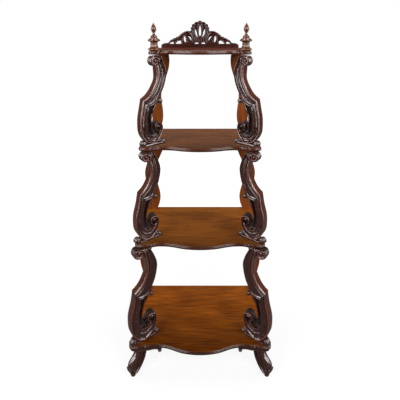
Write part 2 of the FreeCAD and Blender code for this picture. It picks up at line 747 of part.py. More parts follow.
def board_outline(tier):
    """Two parallel waves either side of the board's middle line, square at both ends."""
    tall = tier_height(tier)
    half = size("board_width") / 2
    outer = [(x + half, share * tall) for x, share in BOARD_LINES[tier]]
    inner = [(x - half, share * tall) for x, share in reversed(BOARD_LINES[tier])]
    return chain(outer[0], outer[1:], [inner[0]], inner[1:], [outer[0]])


def make_rear_support(tier):
    name = "rear_support_" + tier
    body = new_body(name + "_right")
    pad(body, sketch(body, "XZ_Plane", board_outline(tier)), "sizes.board_thickness",
        backwards=True)
    middle = size("board_thickness") / 2
    (foot_x, _), (head_x, _) = board_dowels(tier)
    foot = sketch(body, "XY_Plane", circle(foot_x, middle, size("board_dowel_radius")))
    pocket(body, foot, "sizes.dowel_in_support", backwards=True)
    head = sketch(body, "XY_Plane", circle(head_x, middle, size("board_dowel_radius")))
    head.AttachmentOffset = Placement(Vector(0, 0, tier_height(tier)), Rotation())
    pocket(body, head, "sizes.dowel_in_support")
    body.setExpression("Placement.Base.y",
                       "sizes.back_face - sizes.board_inset - sizes.board_thickness")
    body.setExpression("Placement.Base.z", "sizes.%s_shelf_height" % TIERS[tier][0])
    keep_pair(name, body)


def make_board_dowels():
    """Thin dowels in both ends of every rear support."""
    dowels = []
    for tier, (below, above) in TIERS.items():
        foot_place, head_place = board_dowels(tier)
        starts = (size(below + "_shelf_height") - size("dowel_in_shelf"),
                  underside(above) - size("dowel_in_support"))
        for end, place, start in zip(("foot", "head"), (foot_place, head_place), starts):
            dowels.append(cylinder("board_dowel_%s_%s" % (tier, end), "sizes.board_dowel_radius",
                                   place + (start,),
                                   "sizes.dowel_in_support + sizes.dowel_in_shelf"))
    keep_group("board_dowels", dowels)


# ---------------------------------------------------------------- feet

def foot_outline():
    """A cabriole scroll: flat head, hollow ankle, rolled toe and a seat for the peg."""
    top = underside("bottom")
    seat = size("peg_height")
    reach = size("peg_reach")
    return chain((-38, top), [(24, top)],
                 [(21.5, top - 20), (24, top - 42), (34, top - 57)],
                 [(48, top - 66), (57, top - 82), (60, top - 101), (57, top - 120),
                  (reach + 12, seat)],
                 [(reach - 12, seat)],
                 [(14, seat + 8), (-2, seat + 25), (-16, seat + 46), (-27, seat + 72),
                  (-34, seat + 104), (-38, top)])


def make_foot(end):
    body = new_body("foot_%s_block" % end)
    block = pad(body, sketch(body, "XZ_Plane", foot_outline()), "sizes.foot_depth",
                centred=True)
    half = size("foot_depth") / 2
    head = underside("bottom")

    def is_long_side_edge(edge):
        on_a_side = lies_at(edge, "y", half) or lies_at(edge, "y", -half)
        return on_a_side and edge.BoundBox.ZLength > 5
    round_edges(body, block, is_long_side_edge, "sizes.foot_round")
    turn_cell = FEET[end][0]
    turn = size(turn_cell) if turn_cell else 0
    x, y = foot_point(end, 0)
    body.Placement = Placement(Vector(x, y, 0), Rotation(Z_AXIS, -turn))
    peg_x, peg_y = foot_point(end, size("peg_reach"))
    holes = [cylinder("peg_hole_" + end, "sizes.peg_tenon_radius",
                      (peg_x, peg_y, size("peg_height")), "sizes.peg_tenon_length")]
    for number, place in enumerate(foot_dowels(end), start=1):
        start = head - size("dowel_in_support")
        holes.append(cylinder("foot_hole_%s_%d" % (end, number), "sizes.dowel_radius",
                              place + (start,), "sizes.dowel_in_support + 1"))
    name = end + "_foot"
    foot = boolean("Cut", name + "_right", body, holes)
    keep_pair(name, foot)
    return foot


def make_peg(end):
    """A small turned foot with a tenon up into the toe."""
    name = end + "_peg"
    body = new_body(name + "_right")
    radius, height = size("peg_radius"), size("peg_height")
    tenon, length = size("peg_tenon_radius"), size("peg_tenon_length")
    profile = chain((0, 0), [(radius - 2.5, 0)], [(radius, 5), (radius - 1.5, height - 3)],
                    [(radius - 0.5, height)], [(tenon, height)], [(tenon, height + length)],
                    [(0, height + length)], [(0, 0)])
    revolve(body, sketch(body, "XZ_Plane", profile))
    x, y = foot_point(end, size("peg_reach"))
    body.Placement = Placement(Vector(x, y, 0), Rotation())
    keep_pair(name, body)


def make_foot_dowels():
    dowels = []
    for end in FEET:
        for number, place in enumerate(foot_dowels(end), start=1):
            start = underside("bottom") - size("dowel_in_support")
            dowels.append(cylinder("foot_dowel_%s_%d" % (end, number), "sizes.dowel_radius",
                                   place + (start,),
                                   "sizes.dowel_in_support + sizes.dowel_in_shelf"))
    keep_group("foot_dowels", dowels)


def make_bracket(foot):
    """A shaped fillet under the front corner that follows the lobe, with a drop at its end."""
    inset, width = size("bracket_inset"), size("bracket_width")
    back = size("back_face")
    body = new_body("bracket_strip")

    def wing(distance):
        bow_run, _, lobe_run, side_run = shelf_runs("bottom", distance)
        return [bow_run[3::-1], lobe_run, side_run[:3]]

    outside = wing(inset)
    inside = [segment[::-1] for segment in reversed(wing(inset + width))]
    side_end = [outside[-1][-1], inside[0][0]]
    bow_end = [inside[-1][-1], outside[0][0]]
    joined = outside + [side_end] + inside + [bow_end]
    flipped = [[(x, back - depth) for x, depth in segment] for segment in joined]
    pad(body, sketch(body, "XY_Plane", flipped), "sizes.bracket_height")
    body.setExpression("Placement.Base.z", "sizes.bottom_shelf_height - sizes.shelf_thickness"
                       " - sizes.bracket_height")
    drop_x = (bow_end[0][0] + bow_end[1][0]) / 2
    drop_y = back - (bow_end[0][1] + bow_end[1][1]) / 2
    drop = cylinder("bracket_drop", "sizes.drop_radius",
                    (drop_x, drop_y, underside("bottom") - size("drop_height")),
                    "sizes.drop_height")
    fused = boolean("Fuse", "bracket_with_drop", body, [drop])
    keep_pair("corner_bracket", boolean("Cut", "corner_bracket_right", fused, [foot]))


# ---------------------------------------------------------------- build, check and write

for shelf_name in ("bottom", "lower", "upper", "top"):
    make_shelf(shelf_name)
make_rail()
make_crest()
make_gallery_screws()
make_finial()
for tier_name in TIERS:
    make_plinth(tier_name)
    make_front_support(tier_name)
    make_rear_support(tier_name)
make_support_dowels()
make_board_dowels()
front_foot = make_foot("front")
make_foot("rear")
make_peg("front")
make_peg("rear")
make_foot_dowels()
make_bracket(front_foot)
doc.recompute()

failed = [item.Label for item in doc.Objects
          if "Invalid" in item.State or "Error" in item.State]
if failed:
    raise ValueError("not built: " + ", ".join(failed))
for node in nodes:
    if node.Shape.isNull() or not node.Shape.isValid():
        raise ValueError("bad shape: " + node.Label)

os.makedirs("parts", exist_ok=True)
for node in nodes:
    node.Shape.exportStep("parts/%s.step" % node.Label)
    print("%-28s %2d solids  %9.0f mm3" % (node.Label, len(node.Shape.Solids),
                                           node.Shape.Volume))
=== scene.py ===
"""Victorian etagere in polished mahogany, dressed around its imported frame.

+X is to the right, -Y to the front and +Z up.  Shelves, brackets, floor, lights and camera are
in metres.  Carving and turning is drawn in millimetres, in the plane of its own plank or about
its own axis, and is brought to metres when it is put in place.  The sections follow the order
in which the piece is put together, and the floor, the light and the camera come last.
"""
import math
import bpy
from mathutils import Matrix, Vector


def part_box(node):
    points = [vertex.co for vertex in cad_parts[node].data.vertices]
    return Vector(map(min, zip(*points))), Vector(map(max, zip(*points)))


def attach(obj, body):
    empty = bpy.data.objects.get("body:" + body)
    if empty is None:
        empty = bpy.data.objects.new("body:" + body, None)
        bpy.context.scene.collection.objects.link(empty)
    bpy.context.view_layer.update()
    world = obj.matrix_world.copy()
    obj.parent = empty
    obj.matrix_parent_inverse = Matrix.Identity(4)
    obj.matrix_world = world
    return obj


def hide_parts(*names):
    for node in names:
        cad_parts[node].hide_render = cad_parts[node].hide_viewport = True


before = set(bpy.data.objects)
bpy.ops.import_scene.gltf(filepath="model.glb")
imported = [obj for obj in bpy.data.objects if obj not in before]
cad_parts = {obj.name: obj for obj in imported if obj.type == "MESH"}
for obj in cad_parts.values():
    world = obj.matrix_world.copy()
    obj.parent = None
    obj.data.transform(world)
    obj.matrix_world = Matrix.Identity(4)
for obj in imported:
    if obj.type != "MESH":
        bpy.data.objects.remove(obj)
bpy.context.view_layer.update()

from types import SimpleNamespace

import bmesh
import bpy
import numpy as np
from mathutils import Matrix, Vector


# ------------------------------------------------------------------------------------------
# Shelves.  Four boards of figured mahogany with the grain along their length, French polished.
# Each is sawn with a serpentine front and lobed front corners, and has a thumb moulding worked
# on its front and sides.
# ------------------------------------------------------------------------------------------
BACK_FACE = 0.212
CREASE_ANGLE = 38
TROUGH_SHARE = 0.78
SHELVES = {
    # depth of the corner, size of the lobe, and the warm and the dark tone of the top face; the
    # upper shelf's greyer tones hold a painted reflection
    "bottom": (0.398, 0.074, (0.225, 0.058, 0.001), (0.050, 0.011, 0.0005)),
    "lower": (0.336, 0.069, (0.225, 0.068, 0.003), (0.062, 0.016, 0.001)),
    "upper": (0.288, 0.062, (0.21, 0.076, 0.024), (0.080, 0.026, 0.007)),
    "top": (0.237, 0.052, (0.125, 0.033, 0.010), (0.055, 0.014, 0.005)),
}
# the worked edge, from the middle of the underside to the top: how far in, and how high
EDGE_PROFILE = [(0.0060, 0.0), (0.0032, 0.0), (0.0012, 0.0006), (0.0002, 0.0022),
                (0.0, 0.0050), (0.0002, 0.0072), (0.0010, 0.0090), (0.0022, 0.0100),
                (0.0027, 0.0102), (0.0029, 0.0112), (0.0036, 0.0127), (0.0050, 0.0139),
                (0.0068, 0.0146), (0.0088, 0.0149), (0.0120, 0.0150)]
# the tone of the painted shade on a shelf's worked edge
EDGE_SHADE_TONE = (0.048, 0.011, 0.004, 1)
# how far a face looks up, on the worked edge and on the flat top: faces that look up less take
# the edge's painted shade
UPWARD_RANGE = 0.75, 0.995
# painted shade: a shelf grows lighter between these two depths, from the first share to the
# second, and is darkest at its front
PAINTED_FRONT_SHADE = -0.22, 0.02, 0.50, 1.12
PORE_TONE = (0.02, 0.006, 0.003, 1.0)
CLOUD_TONES = (0.56, 0.48, 0.42, 1.0), (1.14, 1.10, 1.06, 1.0)
GRAIN_TURNS = {"X": (0.0, 0.0, 0.0), "Z": (0.0, math.radians(90), 0.0)}


def smooth_curve(points, count):
    """Evenly spaced samples of the natural cubic spline through the points."""
    points = np.array(points, float)
    steps = np.linalg.norm(np.diff(points, axis=0), axis=1)
    knots = np.concatenate([[0], np.cumsum(steps)])
    total = len(points)
    system = np.eye(total)
    bend = np.zeros_like(points)
    for i in range(1, total - 1):
        system[i, i - 1:i + 2] = steps[i - 1], 2 * (steps[i - 1] + steps[i]), steps[i]
        bend[i] = 6 * ((points[i + 1] - points[i]) / steps[i]
                       - (points[i] - points[i - 1]) / steps[i - 1])
    curvature = np.linalg.solve(system, bend)
    fine = np.linspace(0, knots[-1], max(count * 6, 60))
    place = np.clip(np.searchsorted(knots, fine, side="right") - 1, 0, total - 2)
    left = (fine - knots[place])[:, None]
    right = (knots[place + 1] - fine)[:, None]
    width = steps[place][:, None]
    curve = (curvature[place] * right ** 3 + curvature[place + 1] * left ** 3) / (6 * width)
    curve += (points[place] / width - curvature[place] * width / 6) * right
    curve += (points[place + 1] / width - curvature[place + 1] * width / 6) * left
    return even_steps(curve, count)


def even_steps(line, count):
    """The same line with evenly spaced points."""
    line = np.array(line, float)
    along = np.concatenate([[0], np.cumsum(np.linalg.norm(np.diff(line, axis=0), axis=1))])
    wanted = np.linspace(0, along[-1], count)
    return np.stack([np.interp(wanted, along, line[:, i]) for i in range(line.shape[1])], 1)


def skin(rings):
    """Points and faces of a closed shell: a band between every two rings, and two end caps."""
    points, size = np.concatenate(rings), len(rings[0])
    faces = [(at + i, at + (i + 1) % size, at + size + (i + 1) % size, at + size + i)
             for at in range(0, len(points) - size, size) for i in range(size)]
    faces += [tuple(range(size)), tuple(range(len(points) - size, len(points)))]
    return points, faces


def add_piece(name, node, shell, materials, choose=None, painted_shading=None):
    """A piece of the dressed model: one mesh in place, riding on the frame's only body.

    It stands for the frame's node of the given name, where there is one.
    """
    mesh = bpy.data.meshes.new(name)
    mesh.from_pydata([tuple(point) for point in shell[0]], [], shell[1])
    shape = bmesh.new()
    shape.from_mesh(mesh)
    bmesh.ops.recalc_face_normals(shape, faces=shape.faces)
    shape.to_mesh(mesh)
    shape.free()
    for material in materials:
        mesh.materials.append(material)
    if choose:
        for face in mesh.polygons:
            face.material_index = choose(face.center, face.normal)
    # a share of painted highlight and painted shade at each point
    if painted_shading:
        shade = mesh.attributes.new("painted_shading", "FLOAT", "POINT")
        shade.data.foreach_set("value", [painted_shading(vertex.co) for vertex in mesh.vertices])
    mesh.shade_smooth()
    mesh.set_sharp_from_angle(angle=math.radians(CREASE_ANGLE))
    piece = bpy.data.objects.new(name, mesh)
    bpy.context.scene.collection.objects.link(piece)
    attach(piece, "root")
    if node:
        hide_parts(node)


def shelf_ring(shelf, inset):
    """One closed ring of the shelf's plan outline, moved in from the edge by inset."""
    low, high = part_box("shelf_" + shelf)
    corner, lobe = SHELVES[shelf][0] - inset, SHELVES[shelf][1]
    half, bow = high.x - inset, BACK_FACE - low.y - inset
    nose_x, nose_depth = half - lobe, corner - lobe
    trough = corner - 0.013
    rise = bow - trough
    front_notch = (nose_x + 0.009, corner - 0.0095)
    side_notch = (half - 0.0095, nose_depth + 0.009)
    bow_run = [front_notch, (nose_x, corner - 0.0065), (nose_x - 0.010, corner - 0.009),
               (TROUGH_SHARE * nose_x, trough), (0.58 * nose_x, trough + 0.2 * rise),
               (0.38 * nose_x, trough + 0.66 * rise), (0.19 * nose_x, trough + 0.92 * rise)]
    bow_line = [(-x, depth) for x, depth in bow_run] + [(0, bow)] + bow_run[::-1]
    lobe_run = [front_notch, (half - 0.74 * lobe, corner - 0.0025),
                (half - 0.5 * lobe, corner), (half - 0.25 * lobe, corner - 0.0015),
                (half - 0.0065, corner - 0.0065), (half - 0.0015, corner - 0.25 * lobe),
                (half, corner - 0.5 * lobe), (half - 0.0025, corner - 0.74 * lobe), side_notch]
    side_run = [side_notch, (half - 0.0065, nose_depth), (half - 0.009, nose_depth - 0.010),
                (half - 0.014, 0.6 * corner), (half - 0.012, 0.36 * corner),
                (half - 0.005, 0.14 * corner), (half - 0.003, inset * 0.25)]
    right = np.concatenate([smooth_curve(lobe_run, 56)[:-1], smooth_curve(side_run, 60)])
    left = right[::-1] * (-1, 1)
    ring = np.concatenate([smooth_curve(bow_line, 150)[:-1], right, left[:-1]])
    return np.stack([ring[:, 0], BACK_FACE - ring[:, 1]], 1)


def fill_inputs(tree, node, inputs):
    """Set each named input to its value, or join it to the socket that feeds it."""
    for name, value in inputs.items():
        if isinstance(value, bpy.types.NodeSocket):
            tree.links.new(value, node.inputs[name])
        else:
            node.inputs[name].default_value = value


def add_node(tree, kind, inputs, **settings):
    """The outputs of a new node, whose settings are made before its inputs are filled."""
    node = tree.nodes.new(kind)
    for name, value in settings.items():
        setattr(node, name, value)
    fill_inputs(tree, node, inputs)
    return node.outputs


def new_tree(name, kind, inputs, outputs):
    """A node tree with named inputs and outputs, and the sockets that bring its inputs in."""
    tree = bpy.data.node_groups.new(name, kind)
    for label, socket_kind, default in inputs:
        socket = tree.interface.new_socket(name=label, in_out="INPUT",
                                           socket_type="NodeSocket" + socket_kind)
        if default is not None:
            socket.default_value = default
    for label, socket_kind in outputs:
        tree.interface.new_socket(name=label, in_out="OUTPUT",
                                  socket_type="NodeSocket" + socket_kind)
    return tree, add_node(tree, "NodeGroupInput", {})


def colour_mix(tree, amount, first, second, blend="MIX"):
    return add_node(tree, "ShaderNodeMix", {"Factor": amount, "A": first, "B": second},
                    data_type="RGBA", blend_type=blend)["Result"]


def map_range(tree, value, low, high, to_low=0.0, to_high=1.0):
    return add_node(tree, "ShaderNodeMapRange", {
        "Value": value, "From Min": low, "From Max": high, "To Min": to_low,
        "To Max": to_high})["Result"]


def arithmetic(tree, operation, first, second, clamp=False):
    return add_node(tree, "ShaderNodeMath", {0: first, 1: second}, operation=operation,
                    use_clamp=clamp)["Value"]


def grain_group():
    """Mahogany figure: long streaks, slow cloudy bands and fine dark pores."""
    group, given = new_tree(
        "mahogany_grain", "ShaderNodeTree",
        [("Place", "Vector", None), ("Warm Tone", "Color", (0.3, 0.1, 0.03, 1)),
         ("Dark Tone", "Color", (0.1, 0.03, 0.01, 1)), ("Pore Depth", "Float", 0.35)],
        [("Colour", "Color"), ("Roughness", "Float"), ("Height", "Float")])

    def noise(scale, stretch, detail, distortion=0.0):
        stretched = add_node(group, "ShaderNodeMapping", {"Vector": given["Place"],
                                                          "Scale": stretch})
        return add_node(group, "ShaderNodeTexNoise", {
            "Vector": stretched["Vector"], "Scale": scale, "Detail": detail,
            "Distortion": distortion})["Fac"]

    streaks = map_range(group, noise(9.0, (1.1, 24.0, 24.0), 8.0, 0.3), 0.26, 0.68)
    clouds = map_range(group, noise(3.6, (0.8, 2.0, 2.0), 4.0, 0.8), 0.30, 0.70)
    pores = map_range(group, noise(70.0, (0.9, 22.0, 22.0), 3.0), 0.56, 0.70)
    body = colour_mix(group, streaks, given["Dark Tone"], given["Warm Tone"])
    shaded = colour_mix(group, 0.70, body, colour_mix(group, clouds, *CLOUD_TONES), "MULTIPLY")
    pore_mask = arithmetic(group, "MULTIPLY", pores, given["Pore Depth"])
    add_node(group, "NodeGroupOutput", {
        "Colour": colour_mix(group, pore_mask, shaded, PORE_TONE),
        "Roughness": map_range(group, clouds, 0.0, 1.0, 0.20, 0.36),
        "Height": arithmetic(group, "SUBTRACT", 1.0, pore_mask)})
    return group


def new_material(name):
    material = bpy.data.materials.new(name)
    material.use_nodes = True
    return material, material.node_tree, material.node_tree.nodes["Principled BSDF"]


GRAIN = grain_group()


def polished_wood(name, warm, dark, along="Z", coat=0.45, pores=0.35, sheen=0.12,
                  shelf=False):
    """French polished mahogany with its grain along one axis of the piece.

    A shelf carries painted shade: it is darker on its worked edge than on its top, and darker
    toward its front.
    """
    material, tree, shader = new_material(name)
    place = add_node(tree, "ShaderNodeTexCoord", {})["Object"]
    turned_place = add_node(tree, "ShaderNodeMapping", {"Vector": place,
                                                        "Rotation": GRAIN_TURNS[along]})
    grain = add_node(tree, "ShaderNodeGroup", {
        "Place": turned_place["Vector"], "Warm Tone": (*warm, 1), "Dark Tone": (*dark, 1),
        "Pore Depth": pores}, node_tree=GRAIN)
    colour = grain["Colour"]
    # painted shade: the worked edge of a shelf is darker than its top
    if shelf:
        normal = add_node(tree, "ShaderNodeNewGeometry", {})["Normal"]
        upward = add_node(tree, "ShaderNodeSeparateXYZ", {"Vector": normal})["Z"]
        colour = colour_mix(tree, map_range(tree, upward, *UPWARD_RANGE), EDGE_SHADE_TONE, colour)
        # painted shade toward the shelf's front
        backward = add_node(tree, "ShaderNodeSeparateXYZ", {"Vector": place})["Y"]
        light = map_range(tree, backward, *PAINTED_FRONT_SHADE)
        colour = add_node(tree, "ShaderNodeVectorMath", {0: colour, "Scale": light},
                          operation="SCALE")["Vector"]
    bump = add_node(tree, "ShaderNodeBump", {"Height": grain["Height"], "Strength": 0.12,
                                             "Distance": 0.0004})
    fill_inputs(tree, shader, {
        "Base Color": colour, "Roughness": grain["Roughness"], "Normal": bump["Normal"],
        "IOR": 1.48, "Specular IOR Level": 0.2, "Coat Weight": coat, "Coat Roughness": sheen})
    return material


for shelf, (_, _, warm, dark) in SHELVES.items():
    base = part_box("shelf_" + shelf)[0].z
    rings = [[(x, y, base + height) for x, y in shelf_ring(shelf, inset)]
             for inset, height in EDGE_PROFILE]
    finish = polished_wood("shelf_%s_polish" % shelf, warm, dark, along="X", coat=0.4,
                           shelf=True)
    add_piece("shelf_board_" + shelf, "shelf_" + shelf, skin(rings), [finish])


# ------------------------------------------------------------------------------------------
# Front supports.  Six carved mahogany planks, dowelled between plinth and shelf and turned so
# that their outer edges lead.  On each an S-scroll with a fluted head laps over a C-scroll with
# a studded band, and a deep crescent is cut behind them.
# ------------------------------------------------------------------------------------------
SUPPORT_TURN = 30
SUPPORT_DEPTH = 38
HOLLOW_DEPTH = 17
CARVED_DEPTH = 20
FLAT_TOP_GAP = 1.5
SEAT_HEIGHT = 10
CURL_RADIUS = 9
CURL_SHARE = 0.51
RIM_WIDTH = 6
STUD_RADIUS, STUD_DEPTH = 1.9, 6.6
FLUTES_PER_ROLL = 3
FULL_RIDGE = 16
# the C-scroll starts this deep under the S-scroll, and rises over this share of its length
LAP_DEPTH, LAP_LENGTH = 2.6, 0.10
# the beak: how far it lies in from the elbow, and its drop as a share of the height
BEAK_REACH, BEAK_DROP = 22, 0.075
# each shell of a support ends this much lower than the one before, so that no tops coincide
TOP_STEP = 0.00015
# the walls of a carved band stand this far inside its edges
BAND_INSET = 0.2
ROUND_SEGMENTS = 24
LEAF_SEGMENTS = 12
# the inner leaf: the pairs it follows, how far across it lies, and its half widths
LEAF_PAIRS, LEAF_SHARE = slice(6, 18), 0.57
LEAF_WIDTHS = (0.5, 1.8, 3.4, 4.2, 4.2, 3.6, 2.8, 1.8, 0.8)
SIDES = (("right", 1), ("left", -1))
# in radii about the head roll and the lower eye: how far the carved polish reaches, and
# where a roll's fluted rim begins; round the eye, the dark carved polish on the volute's sides
# is painted shade
HEAD_REACH, EYE_REACH, ROLL_RIM = 1.3, 1.25, 0.94
# how deep the sides are carved, from what depth painted shade darkens them, and how much
CARVED_SIDE, DARK_SIDE, DARK_SIDE_SHADE = 9, 18, 0.75
# how much painted highlight the crowns take and how much painted shade the hollows take, at
# these depths
SHADING_DEPTHS, SHADING_VALUES = (0.2, 2.2, 7.5, 11.5), (-1, 0, 0, 1)
# the tones of the painted highlight on the crowns and of the painted shade in the hollows
CROWN_HIGHLIGHT_TONE = (0.090, 0.025, 0.015, 1)
HOLLOW_SHADE_TONE = (0.004, 0.002, 0.0015, 1)
SUPPORTS = {
    # the shelf below, the one above, and the plank's measures in millimetres; each stud has
    # its distance along the plank and its share of the height
    "lower": SimpleNamespace(
        below="bottom", above="lower", datum=(260, -176), lean=3, roll=(-37, 429),
        roll_radius=26, neck=-140, bulge=-109, stem=-62, elbow=-3, elbow_height=254, curl=-76,
        rim=-34.5, throat=-35, belly=28, base=-24, eye=(-70, 114), eye_radius=21.5, ridge=16,
        flat=21, studs=[(-3, 0.37), (1.5, 0.27), (-2, 0.165)]),
    "middle": SimpleNamespace(
        below="lower", above="upper", datum=(220, -111), lean=0, roll=(-24, 360),
        roll_radius=19, neck=-125, bulge=-80.5, stem=-40, elbow=8, elbow_height=215, curl=-56,
        rim=-21, throat=-20, belly=33, base=-14, eye=(-47, 93), eye_radius=18.5, ridge=11,
        flat=19, studs=[(6.6, 0.399), (14.6, 0.28), (7.7, 0.177)]),
    "upper": SimpleNamespace(
        below="upper", above="top", datum=(195, -73), lean=0, roll=(-44, 314),
        roll_radius=19, neck=-100, bulge=-86, stem=-48, elbow=8, elbow_height=179, curl=-59.5,
        rim=-28, throat=-24, belly=25, base=-18, eye=(-48, 75), eye_radius=17, ridge=11,
        flat=16, studs=[(2, 0.39), (5.9, 0.276), (2.8, 0.192)]),
}
for plan in SUPPORTS.values():
    plan.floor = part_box("shelf_" + plan.below)[1].z
    plan.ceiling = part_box("shelf_" + plan.above)[0].z
    plan.tall = 1000 * (plan.ceiling - plan.floor)
    plan.curl = (plan.curl, CURL_SHARE * plan.tall)
    plan.throat = (plan.throat, plan.eye[1] - plan.eye_radius)
    plan.tip = (plan.elbow - BEAK_REACH, plan.elbow_height - BEAK_DROP * plan.tall)
    plan.waist = plan.curl[0] + 5 - plan.bulge
    plan.swell = plan.belly - plan.base
    plan.side = plan.base - plan.eye[0] + plan.eye_radius
# a carved section has three runs of (distance, depth below the front face): from the first
# edge in, in shares of the width left between, and from the last edge in
S_SECTION = ([(0.0, 7.0), (0.3, 3.0), (1.1, 1.3), (2.3, 0.8), (3.5, 1.4), (4.2, 3.0),
              (4.6, 5.0), (5.4, 6.2)],
             [(0.2, 8.6), (0.48, 9.6), (0.76, 8.8)],
             [(22.2, 7.6), (21.5, 5.8), (20.4, 3.2), (18.7, 1.7), (17.0, 1.4), (15.4, 2.4),
              (14.2, 4.4), (13.6, 7.2), (13.0, 3.8), (11.6, 1.5), (9.6, 0.5), (7.2, 0.0),
              (4.8, 0.0), (2.8, 0.7), (1.2, 2.2), (0.4, 4.0), (0.0, 7.0)])
C_SECTION = ([(0.0, 7.5), (0.4, 3.6), (1.6, 1.2), (3.8, 0.1), (6.4, 0.0), (8.8, 0.9),
              (10.3, 3.0), (10.9, 6.4), (11.6, 3.4), (13.0, 2.2), (14.4, 3.2), (15.2, 6.0)],
             [(0.1, 6.9), (0.5, 7.6), (0.9, 6.9)],
             [(7.3, 6.2), (6.8, 4.0), (5.4, 1.9), (3.6, 1.2), (1.8, 2.0), (0.5, 4.6),
              (0.0, 9.0)])
RIM_SECTION = ([(0.0, 8.0), (0.4, 5.2), (1.4, 3.6)],
               [(0.5, 3.0)],
               [(1.4, 3.6), (0.4, 5.2), (0.0, 8.0)])


def on_circle(centre, radius, degrees):
    angle = math.radians(degrees)
    return (centre[0] + radius * math.cos(angle), centre[1] + radius * math.sin(angle))


def length_of(line):
    return sum(math.dist(a, b) for a, b in zip(line, line[1:]))


def stem_point(plan, out, up):
    """A point on the stem: out from the stem to the elbow, up from the elbow to 0.8 tall."""
    rise = 0.80 * plan.tall - plan.elbow_height
    return (plan.stem + out * (plan.elbow - plan.stem), plan.elbow_height + up * rise)


def belly_point(plan, out, up):
    """A point on the belly's upper edge: out from the elbow to it, up to a share of tall."""
    return (plan.elbow + out * (plan.belly - plan.elbow), up * plan.tall)


def lap_point(plan, out, up):
    """A point on the belly's lower edge: out from the base to it, up to a share of tall."""
    return (plan.base + out * plan.swell, up * plan.tall)


def outer_edge(plan):
    """The swollen outer edge of the S-scroll, from the waist to just under the shelf."""
    points = [(plan.bulge + out * plan.waist, up * plan.tall)
              for out, up in ((0.84, 0.58), (0.47, 0.645), (0.18, 0.72), (0, 0.80))]
    return points + [(plan.bulge + out * plan.tall, up * plan.tall)
                     for out, up in ((0.018, 0.90), (0.038, 0.95))]


def heel_edge(plan):
    """The edge under the lower volute, from the base back to its eye."""
    return [(plan.base - back * plan.side, up * plan.eye[1])
            for back, up in ((0.30, 0.19), (0.62, 0.36), (0.85, 0.57), (0.965, 0.79))]


def crescent_edge(plan):
    """The edge of the crescent, from the small curl down to the throat."""
    rim, tall = plan.rim, plan.tall
    return [(0.5 * (rim + plan.curl[0]) + 2, 0.465 * tall), (rim - 7, 0.42 * tall),
            (rim, 0.37 * tall), (rim + 6, 0.305 * tall), (rim + 4, 0.25 * tall), plan.throat]


def support_outline(plan):
    """The sawn outline, square on to the plank, as one closed run of points."""
    tall, bulge, stem, base = plan.tall, plan.bulge, plan.stem, plan.base
    roll, radius, eye, curl = plan.roll, plan.roll_radius, plan.eye, plan.curl
    neck = on_circle(roll, radius, plan.neck)
    under_curl, over_curl = (on_circle(curl, CURL_RADIUS, angle) for angle in (-65, 60))
    crown = (bulge + 0.062 * tall, tall + 3)
    runs = [
        [on_circle(roll, 0.93 * radius, angle) for angle in (70, 15, -20, -60, -95)] + [neck],
        [neck, (stem + 1, 0.86 * tall), (stem, 0.80 * tall)]
        + [stem_point(plan, out, up) for out, up in ((0.035, 0.78), (0.21, 0.54),
                                                     (0.49, 0.27), (0.71, 0.13), (1, 0))],
        [(plan.elbow, plan.elbow_height), belly_point(plan, 0.45, 0.43),
         belly_point(plan, 0.87, 0.33), (plan.belly, 0.235 * tall)]
        + [lap_point(plan, out, up) for out, up in ((0.97, 0.165), (0.80, 0.107),
                                                    (0.5, 0.056))]
        + [(base + 14, 13), (base, 8), *heel_edge(plan), (base - plan.side, eye[1])],
        [on_circle(eye, plan.eye_radius, angle) for angle in (180, 135, 90, 45, 0)],
        [on_circle(eye, plan.eye_radius, 0), plan.throat],
        [*crescent_edge(plan)[::-1], under_curl],
        [on_circle(curl, CURL_RADIUS, angle) for angle in (-65, -120, 180, 120, 60)],
        [over_curl, *outer_edge(plan), crown],
        [crown, (roll[0] + 0.34 * radius, tall + 3)],
    ]
    return np.concatenate([smooth_curve(run, max(int(length_of(run) / 2.5), 3))[:-1]
                           if len(run) > 2 else np.array(run[:1]) for run in runs])


def s_scroll_pairs(plan):
    """Matching points on the two edges of the S-scroll, from its beak to its eye."""
    tall, bulge, stem, curl, tip = plan.tall, plan.bulge, plan.stem, plan.curl, plan.tip
    roll, radius = plan.roll, plan.roll_radius
    edge = outer_edge(plan)
    edge.insert(4, (bulge + 0.004 * tall, 0.85 * tall))
    across = [stem_point(plan, out, up) for out, up in ((0.33, 0.40), (0.21, 0.54), (0.10, 0.67),
                                                        (0.01, 0.87))]
    across += [(stem, 0.82 * tall), (stem + 1, 0.86 * tall),
               on_circle(roll, radius, plan.neck + 2)]
    pairs = [
        (tip, (plan.elbow, plan.elbow_height + 1)),
        ((0.62 * tip[0] + 0.38 * curl[0], 0.7 * tip[1] + 0.3 * curl[1]),
         stem_point(plan, 0.72, 0.13)),
        ((curl[0] + 9, 0.53 * tall), stem_point(plan, 0.49, 0.27)),
        *zip(edge, across),
        ((bulge + 0.058 * tall, 0.985 * tall), on_circle(roll, 0.74 * radius, 192)),
        ((roll[0] - 0.75 * radius, roll[1] + 0.92 * radius),
         on_circle(roll, 0.60 * radius, 150)),
    ]
    for angle, outer, inner in ((105, 0.96, 0.56), (60, 0.93, 0.52), (15, 0.93, 0.49),
                                (-30, 0.93, 0.46), (-75, 0.93, 0.43), (-115, 0.89, 0.40),
                                (-150, 0.80, 0.37), (-190, 0.66, 0.34), (-230, 0.56, 0.31),
                                (-275, 0.48, 0.28), (-320, 0.42, 0.25), (-360, 0.37, 0.22)):
        pairs.append((on_circle(roll, outer * radius, angle),
                      on_circle(roll, inner * radius, angle)))
    return pairs


